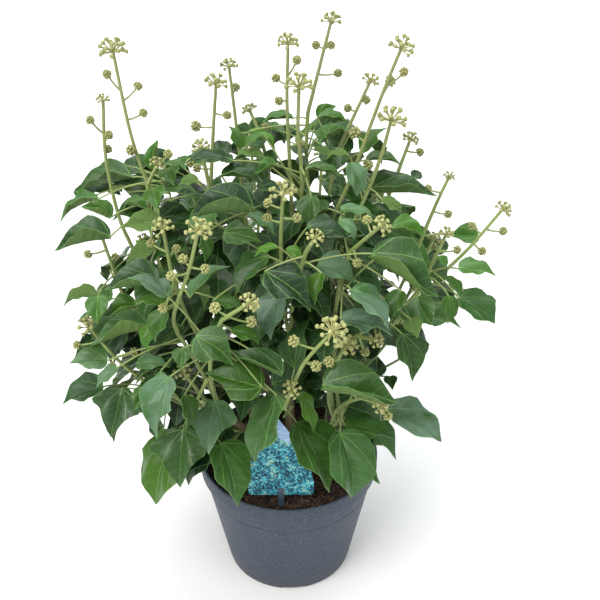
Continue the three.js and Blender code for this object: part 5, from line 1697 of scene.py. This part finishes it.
def leaf_material(name, roughness, deep, mid, young, vein, vein_share, raised, coat, painted_sheen_strength):
    """A leaf's finish, the same for its upper side and its underside but for the values, with a painted
    sheen of reflected light as strong as the last value.
    """
    made, nodes, links, shader = material(name, roughness)
    coords = node(nodes, links, "ShaderNodeTexCoord")
    flat = nodes.new("ShaderNodeGroup")
    flat.node_tree = VEINS
    links.new(coords.outputs["UV"], flat.inputs["Leaf Map"])
    patches = node(
        nodes, links, "ShaderNodeTexNoise",
        {"Vector": coords.outputs["Object"], "Scale": 38.0, "Detail": 3.0},
    )
    tone = node(nodes, links, "ShaderNodeAttribute", attribute_name="tone").outputs["Fac"]
    youth = node(nodes, links, "ShaderNodeAttribute", attribute_name="youth").outputs["Fac"]
    edge = node(nodes, links, "ShaderNodeAttribute", attribute_name="edge").outputs["Fac"]
    share = maths(nodes, links, "MULTIPLY_ADD", patches.outputs["Fac"], 0.8, -0.45)
    share = maths(nodes, links, "MULTIPLY_ADD", tone, 1.1, share)
    body = blend_colours(nodes, links, share, deep, mid)
    # Painted sheen: a bluish grey-green reflection of the light, painted in patches over a leaf's colour as
    # far as the leaf has it
    satin = node(nodes, links, "ShaderNodeAttribute", attribute_name="satin").outputs["Fac"]
    painted_sheen_share = maths(nodes, links, "MULTIPLY_ADD", patches.outputs["Fac"], 2.4 * painted_sheen_strength, -0.6 * painted_sheen_strength)
    painted_sheen_share = maths(nodes, links, "MULTIPLY", satin, painted_sheen_share)
    body = blend_colours(nodes, links, painted_sheen_share, body, (0.15, 0.235, 0.19, 1))
    body = blend_colours(nodes, links, youth, body, young)
    share = maths(nodes, links, "MULTIPLY", flat.outputs["Net"], 0.12)
    netted = blend_colours(nodes, links, share, body, vein)
    share = maths(nodes, links, "MULTIPLY", flat.outputs["Veins"], vein_share)
    veined = blend_colours(nodes, links, share, netted, vein)
    rim = ranged(nodes, links, edge, 0.95, 1.0, 0.0, 0.4)
    links.new(blend_colours(nodes, links, rim, veined, vein), shader.inputs["Base Color"])
    dull = ranged(nodes, links, patches.outputs["Fac"], 0.3, 0.7, roughness - 0.04, roughness + 0.06)
    links.new(dull, shader.inputs["Roughness"])
    relief(nodes, links, shader, flat.outputs["Height"], raised, 0.0006)
    shader.inputs["Specular IOR Level"].default_value = 0.24
    shader.inputs["Coat Weight"].default_value = coat
    shader.inputs["Coat Roughness"].default_value = 0.3
    return made


leaf_top = leaf_material(
    "leaf_top", 0.35, (0.0035, 0.018, 0.004, 1), (0.03, 0.105, 0.014, 1), (0.075, 0.2, 0.005, 1),
    (0.18, 0.36, 0.09, 1), 0.58, -0.4, 0.04, 0.9,
)
leaf_under = leaf_material(
    "leaf_underside", 0.62, (0.055, 0.11, 0.03, 1), (0.115, 0.195, 0.045, 1), (0.14, 0.25, 0.035, 1),
    (0.22, 0.3, 0.1, 1), 0.5, 0.7, 0.0, 0.0,
)


def stem_material(name, young, old, foot, top):
    """Bark or the skin of a shoot: streaked, old at the foot and young from a height on."""
    made, nodes, links, shader = material(name, 0.6)
    coords = node(nodes, links, "ShaderNodeTexCoord").outputs["Object"]
    long = node(nodes, links, "ShaderNodeMapping", {"Vector": coords, "Scale": (260.0, 260.0, 40.0)})
    streaks = node(nodes, links, "ShaderNodeTexNoise", {"Vector": long.outputs[0], "Detail": 4.0})
    height = node(nodes, links, "ShaderNodeSeparateXYZ", {"Vector": coords}).outputs["Z"]
    age = ranged(nodes, links, height, foot, top, 0.0, 1.0)
    skin = blend_colours(nodes, links, age, old, young)
    dark = blend_colours(nodes, links, 0.55, skin, (0.0, 0.0, 0.0, 1))
    streaked = blend_colours(nodes, links, streaks.outputs["Fac"], dark, skin)
    links.new(streaked, shader.inputs["Base Color"])
    relief(nodes, links, shader, streaks.outputs["Fac"], 0.5, 0.0006)
    return made


bark_finish = stem_material("stem_bark", (0.16, 0.2, 0.06, 1), (0.13, 0.07, 0.04, 1), 0.18, 0.31)
stalk_finish = stem_material("spike_skin", (0.34, 0.37, 0.15, 1), (0.34, 0.44, 0.13, 1), 0.42, 0.56)
shoot_finish = stem_material("shoot_skin", (0.36, 0.46, 0.15, 1), (0.13, 0.19, 0.055, 1), 0.17, 0.34)

# Shoots end at the last leaf that they hold. Wood swells and thins a little along its way, and petioles
# arch from the shoot to the blade, where they run on as the midrib.
LEAF_HOLD = 7
SHOOT_TIP = 0.9
SWELLING = 0.09
CROWN_PLACE = 0.55
PETIOLE_ARCH = 0.09
PETIOLE_RUNS = 7
PETIOLE_RADII = (0.95, 0.7, 0.8)
MIDRIB_RADII = (0.6, 0.42, 0.15)
for stem in stems.values():
    blades = []
    wood = strands("wood_" + stem.name, 3)
    shoots = strands("shoots_" + stem.name)
    for i, (_, smooth, first, last) in enumerate(stem.runs):
        if last == SHOOT_RADIUS:
            roots = [leaf.root for leaf in stem.leaves]
            held = [
                j for j, place in enumerate(smooth)
                if min(length(minus(place, root)) for root in roots) < LEAF_HOLD
            ]
            smooth = smooth[: max(held[-1] + 1, 3)] if held else smooth[:0]
            last = SHOOT_TIP
        if not smooth:
            continue
        swellings = [
            (first + (last - first) * j / (len(smooth) - 1)) * (1 + SWELLING * growth.uniform(-1, 1))
            for j in range(len(smooth))
        ]
        add_strand(wood if i == 0 else shoots, smooth, swellings)
    for leaf in stem.leaves:
        blades.append(grown_leaf(leaf))
        span = length(minus(leaf.base, leaf.root))
        crown = plus(between(leaf.root, leaf.base, CROWN_PLACE), (0, 0, 1), PETIOLE_ARCH * span)
        meeting = tuple(leaf.rib[0])
        add_strand(shoots, bow(leaf.root, crown, meeting, PETIOLE_RUNS), PETIOLE_RADII)
        add_strand(shoots, [tuple(place) for place in leaf.rib], MIDRIB_RADII)
    foliage = joined("foliage_" + stem.name, blades)
    foliage.data.materials.clear()
    foliage.data.materials.append(leaf_top)
    foliage.data.materials.append(leaf_under)
    applied(foliage, "SOLIDIFY", thickness=BLADE_THICKNESS * MM, offset=-1, material_offset=1)
    smoothed(foliage, 60)
    foliage = joined(
        "foliage_" + stem.name, [foliage, mesh_of(wood, bark_finish), mesh_of(shoots, shoot_finish)]
    )
    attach(foliage, "root")
    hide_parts("leafy_stem_" + stem.name)
for blade in (*flat_leaves.values(), *inner_leaves.values()):
    bpy.data.objects.remove(blade)


# Flower spikes: green spikes above the leaves, each ended by a round umbel of club-shaped buds on
# slender rays, with smaller tight heads on side stalks below it. Nothing is open yet.
TERMINAL_BUDS = 30
SMALL_BUDS = 26
SIDE_BUDS = 26
# How far towards its stalk a head has buds, as a cosine: large umbels that hang low, the other umbels,
# and side heads, which have them nearly all round
FULL_UMBEL = 0.45
HALF_UMBEL = 0.12
SIDE_UMBEL = 0.86
FULL_FROM = 11
# Width of a bud over that of its pattern, in large umbels high up, in other large ones and in small ones
HIGH_WIDTH = 1.3
FULL_WIDTH = 1.12
SMALL_WIDTH = 1.55
# Rings of a bud on its ray, and of a bud in a tight head: (radius, height), for a head of radius 1
BUD_RINGS = [(0.045, 0), (0.034, 0.5), (0.045, 0.74), (0.1, 0.8), (0.135, 0.88), (0.12, 0.95), (0.05, 1)]
NUB_RINGS = [(0.12, 0.3), (0.2, 0.62), (0.27, 0.8), (0.2, 0.96), (0.06, 1)]
SPIKE_RADII = (1.5, 1.6, 1.9)
STALK_RADII = (1.05, 0.85, 0.95)
HIGH_HEAD = 470
STALK_LEAN = 0.4
STALK_DROOP = 0.12
STALK_RUNS = 6
SPIKE_TIP = 0.12  # how far a spike runs on into its umbel, over the umbel's radius
TIGHT_SHARE = 0.86
BUD_REACH = (0.92, 1.06)
BUD_DRIFT = 0.1
BUD_TURN = 2.39996


def bud_pattern(name, sides, rings):
    """A bud on its ray, one long and pointing up, with how far along it each point is."""
    bud = turned(name, sides, rings, 1)
    set_values(bud.data, "along", np.array([vertex.co.z for vertex in bud.data.vertices], np.float32))
    return bud


club = bud_pattern("club_bud", 6, BUD_RINGS)
nub = bud_pattern("tight_bud", 6, NUB_RINGS)

bud_finish, nodes, links, shader = material("flower_buds", 0.6)
coords = node(nodes, links, "ShaderNodeTexCoord").outputs["Object"]
along = node(nodes, links, "ShaderNodeAttribute", attribute_name="along").outputs["Fac"]
tone = node(nodes, links, "ShaderNodeAttribute", attribute_name="tone").outputs["Fac"]
stops = [
    (0.0, (0.34, 0.34, 0.14, 1)), (0.55, (0.46, 0.43, 0.2, 1)), (0.76, (0.27, 0.28, 0.1, 1)),
    (0.84, (0.42, 0.42, 0.19, 1)), (0.9, (0.22, 0.25, 0.075, 1)), (1.0, (0.3, 0.33, 0.12, 1)),
]
ray = ramp(nodes, links, along, stops)
# The tone value mixes the buds towards a pale yellow-green: painted light on the umbels near the front and
# painted shade on those further back
bright = blend_colours(nodes, links, 0.5, ray, (0.64, 0.65, 0.26, 1))
toned = blend_colours(nodes, links, tone, ray, bright)
mottle = node(nodes, links, "ShaderNodeTexNoise", {"Vector": coords, "Scale": 700.0, "Detail": 3.0})
dark = blend_colours(nodes, links, 0.35, toned, (0.07, 0.07, 0.02, 1))
mottled = blend_colours(nodes, links, mottle.outputs["Fac"], dark, toned)
links.new(mottled, shader.inputs["Base Color"])
relief(nodes, links, shader, mottle.outputs["Fac"], 0.4, 0.0003)


def round_head(pattern, centre, radius, stalk_way, count, openness, width, tone):
    """Buds all round a centre, except towards the stalk."""
    buds = []
    centre = Vector(centre)
    offset = growth.uniform(0, 6.3)
    for i in range(count):
        rise = 1 - (2 * i + 1) / count
        swing = i * BUD_TURN + offset
        flat = math.sqrt(1 - rise * rise)
        way = Vector((flat * math.cos(swing), flat * math.sin(swing), rise))
        way += Vector(growth.uniform(-BUD_DRIFT, BUD_DRIFT, 3))
        way.normalize()
        if way.dot(stalk_way) > openness:
            continue
        reach = radius * growth.uniform(*BUD_REACH)
        turn = way.to_track_quat("Z", "Y").to_matrix().to_4x4()
        sized = Matrix.Diagonal((radius * width * MM, radius * width * MM, reach * MM, 1))
        bud = copied(pattern, Matrix.Translation(centre * MM) @ turn @ sized)
        set_values(bud.data, "tone", tone)
        buds.append(bud)
    return buds


for spike in standing:
    # Painted light and shade: an umbel's tone falls from pale at the front of the bush to dark at its back
    tone = min(1, max(0, 0.35 - spike.depth / 250))
    down = Vector(unit(minus(spike.axis[1], spike.axis[0])))
    full = spike.radius > FULL_FROM
    high = spike.axis[0][2] > HIGH_HEAD
    openness = FULL_UMBEL if full and not high else HALF_UMBEL
    width = (HIGH_WIDTH if high else FULL_WIDTH) if full else SMALL_WIDTH
    count = TERMINAL_BUDS if full else SMALL_BUDS
    parts = round_head(club, spike.axis[0], spike.radius, down, count, openness, width, tone)
    stalks = strands("stalks_" + spike.name)
    path = [tuple(place) for place in smooth_path(spike.axis, 5 * len(spike.axis))]
    add_strand(stalks, [plus(path[0], tuple(down), -SPIKE_TIP * spike.radius), *path], SPIKE_RADII)
    for centre, root, size in spike.heads:
        beside = min(range(len(path)), key=lambda j: length(minus(path[j], centre)))
        below = min(range(len(path)), key=lambda j: length(minus(path[j], root)))
        start = path[round(beside + STALK_LEAN * (below - beside))]
        drop = STALK_DROOP * length(minus(centre, start))
        stalk = bow(start, plus(between(start, centre, 0.6), (0, 0, 1), -drop), centre, STALK_RUNS)
        add_strand(stalks, stalk, STALK_RADII)
        back = Vector(unit(minus(stalk[-2], centre)))
        parts += round_head(nub, centre, size * TIGHT_SHARE, back, SIDE_BUDS, SIDE_UMBEL, 1.0, tone)
    heads = joined("umbels_" + spike.name, parts)
    heads.data.materials.clear()
    heads.data.materials.append(bud_finish)
    smoothed(heads, 60)
    heads = joined("umbels_" + spike.name, [heads, mesh_of(stalks, stalk_finish)])
    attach(heads, "root")
    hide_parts("flower_spike_" + spike.name)
for pattern in (club, nub):
    bpy.data.objects.remove(pattern)


# Studio: a plain pale floor, soft light from above and from the left, and the photograph's camera.
bpy.ops.object.select_all(action="DESELECT")
bpy.ops.mesh.primitive_plane_add(size=12, location=(0, 0, -0.0005))
floor = bpy.context.object
floor.name = "pale_floor"
bpy.ops.object.transform_apply(location=True, rotation=True, scale=True)
floor_finish, nodes, links, shader = material("pale_floor", 0.9)
shader.inputs["Base Color"].default_value = (0.96, 0.96, 0.96, 1)
floor.data.materials.append(floor_finish)

world = bpy.data.worlds.new("pale_room")
world.use_nodes = True
nodes, links = world.node_tree.nodes, world.node_tree.links
way = node(nodes, links, "ShaderNodeTexCoord").outputs["Generated"]
rise = node(nodes, links, "ShaderNodeSeparateXYZ", {"Vector": way}).outputs["Z"]
stops = [(0.0, 0.8), (0.17, 0.75), (0.3, 0.2), (0.55, 0.2), (0.78, 1.1)]
room = ramp(nodes, links, rise, [(height, (light, light, light, 1)) for height, light in stops])
links.new(room, nodes["Background"].inputs["Color"])
bpy.context.scene.world = world
bpy.context.scene.view_settings.view_transform = "Standard"

# Lamps: name, place, size, power, colour
LIGHTS = [
    ("key", (-1.1, -1.3, 2.0), 1.7, 48, (1.0, 0.98, 0.95)),
    ("fill", (1.6, -1.2, 1.2), 1.6, 7, (0.95, 0.98, 1.0)),
    ("top", (0.1, 0.5, 2.2), 2.0, 30, (0.93, 0.97, 1.0)),
    ("backdrop", (0, 3.4, 2.4), 2.4, 60, (1.0, 1.0, 1.0)),
]
for name, place, size, power, colour in LIGHTS:
    lamp = bpy.data.lights.new(name, "AREA")
    lamp.shape = "DISK"
    lamp.size = size
    lamp.energy = power
    lamp.color = colour
    if name == "backdrop":
        lamp.spread = math.radians(84)
    holder = bpy.data.objects.new(name, lamp)
    holder.location = place
    aim = Vector((0, 3.4, 0) if name == "backdrop" else (0, 0, 0.3))
    holder.rotation_euler = (aim - Vector(place)).to_track_quat("-Z", "Y").to_euler()
    bpy.context.scene.collection.objects.link(holder)

lens = bpy.data.cameras.new("photo_camera")
lens.sensor_width = 36
lens.lens = FOCAL / (2 * IMAGE_CENTRE) * lens.sensor_width
camera = bpy.data.objects.new("photo_camera", lens)
camera.location = [v * MM for v in EYE]
camera.rotation_euler = (math.pi / 2 - PITCH, 0, 0)
bpy.context.scene.collection.objects.link(camera)
bpy.context.scene.camera = camera
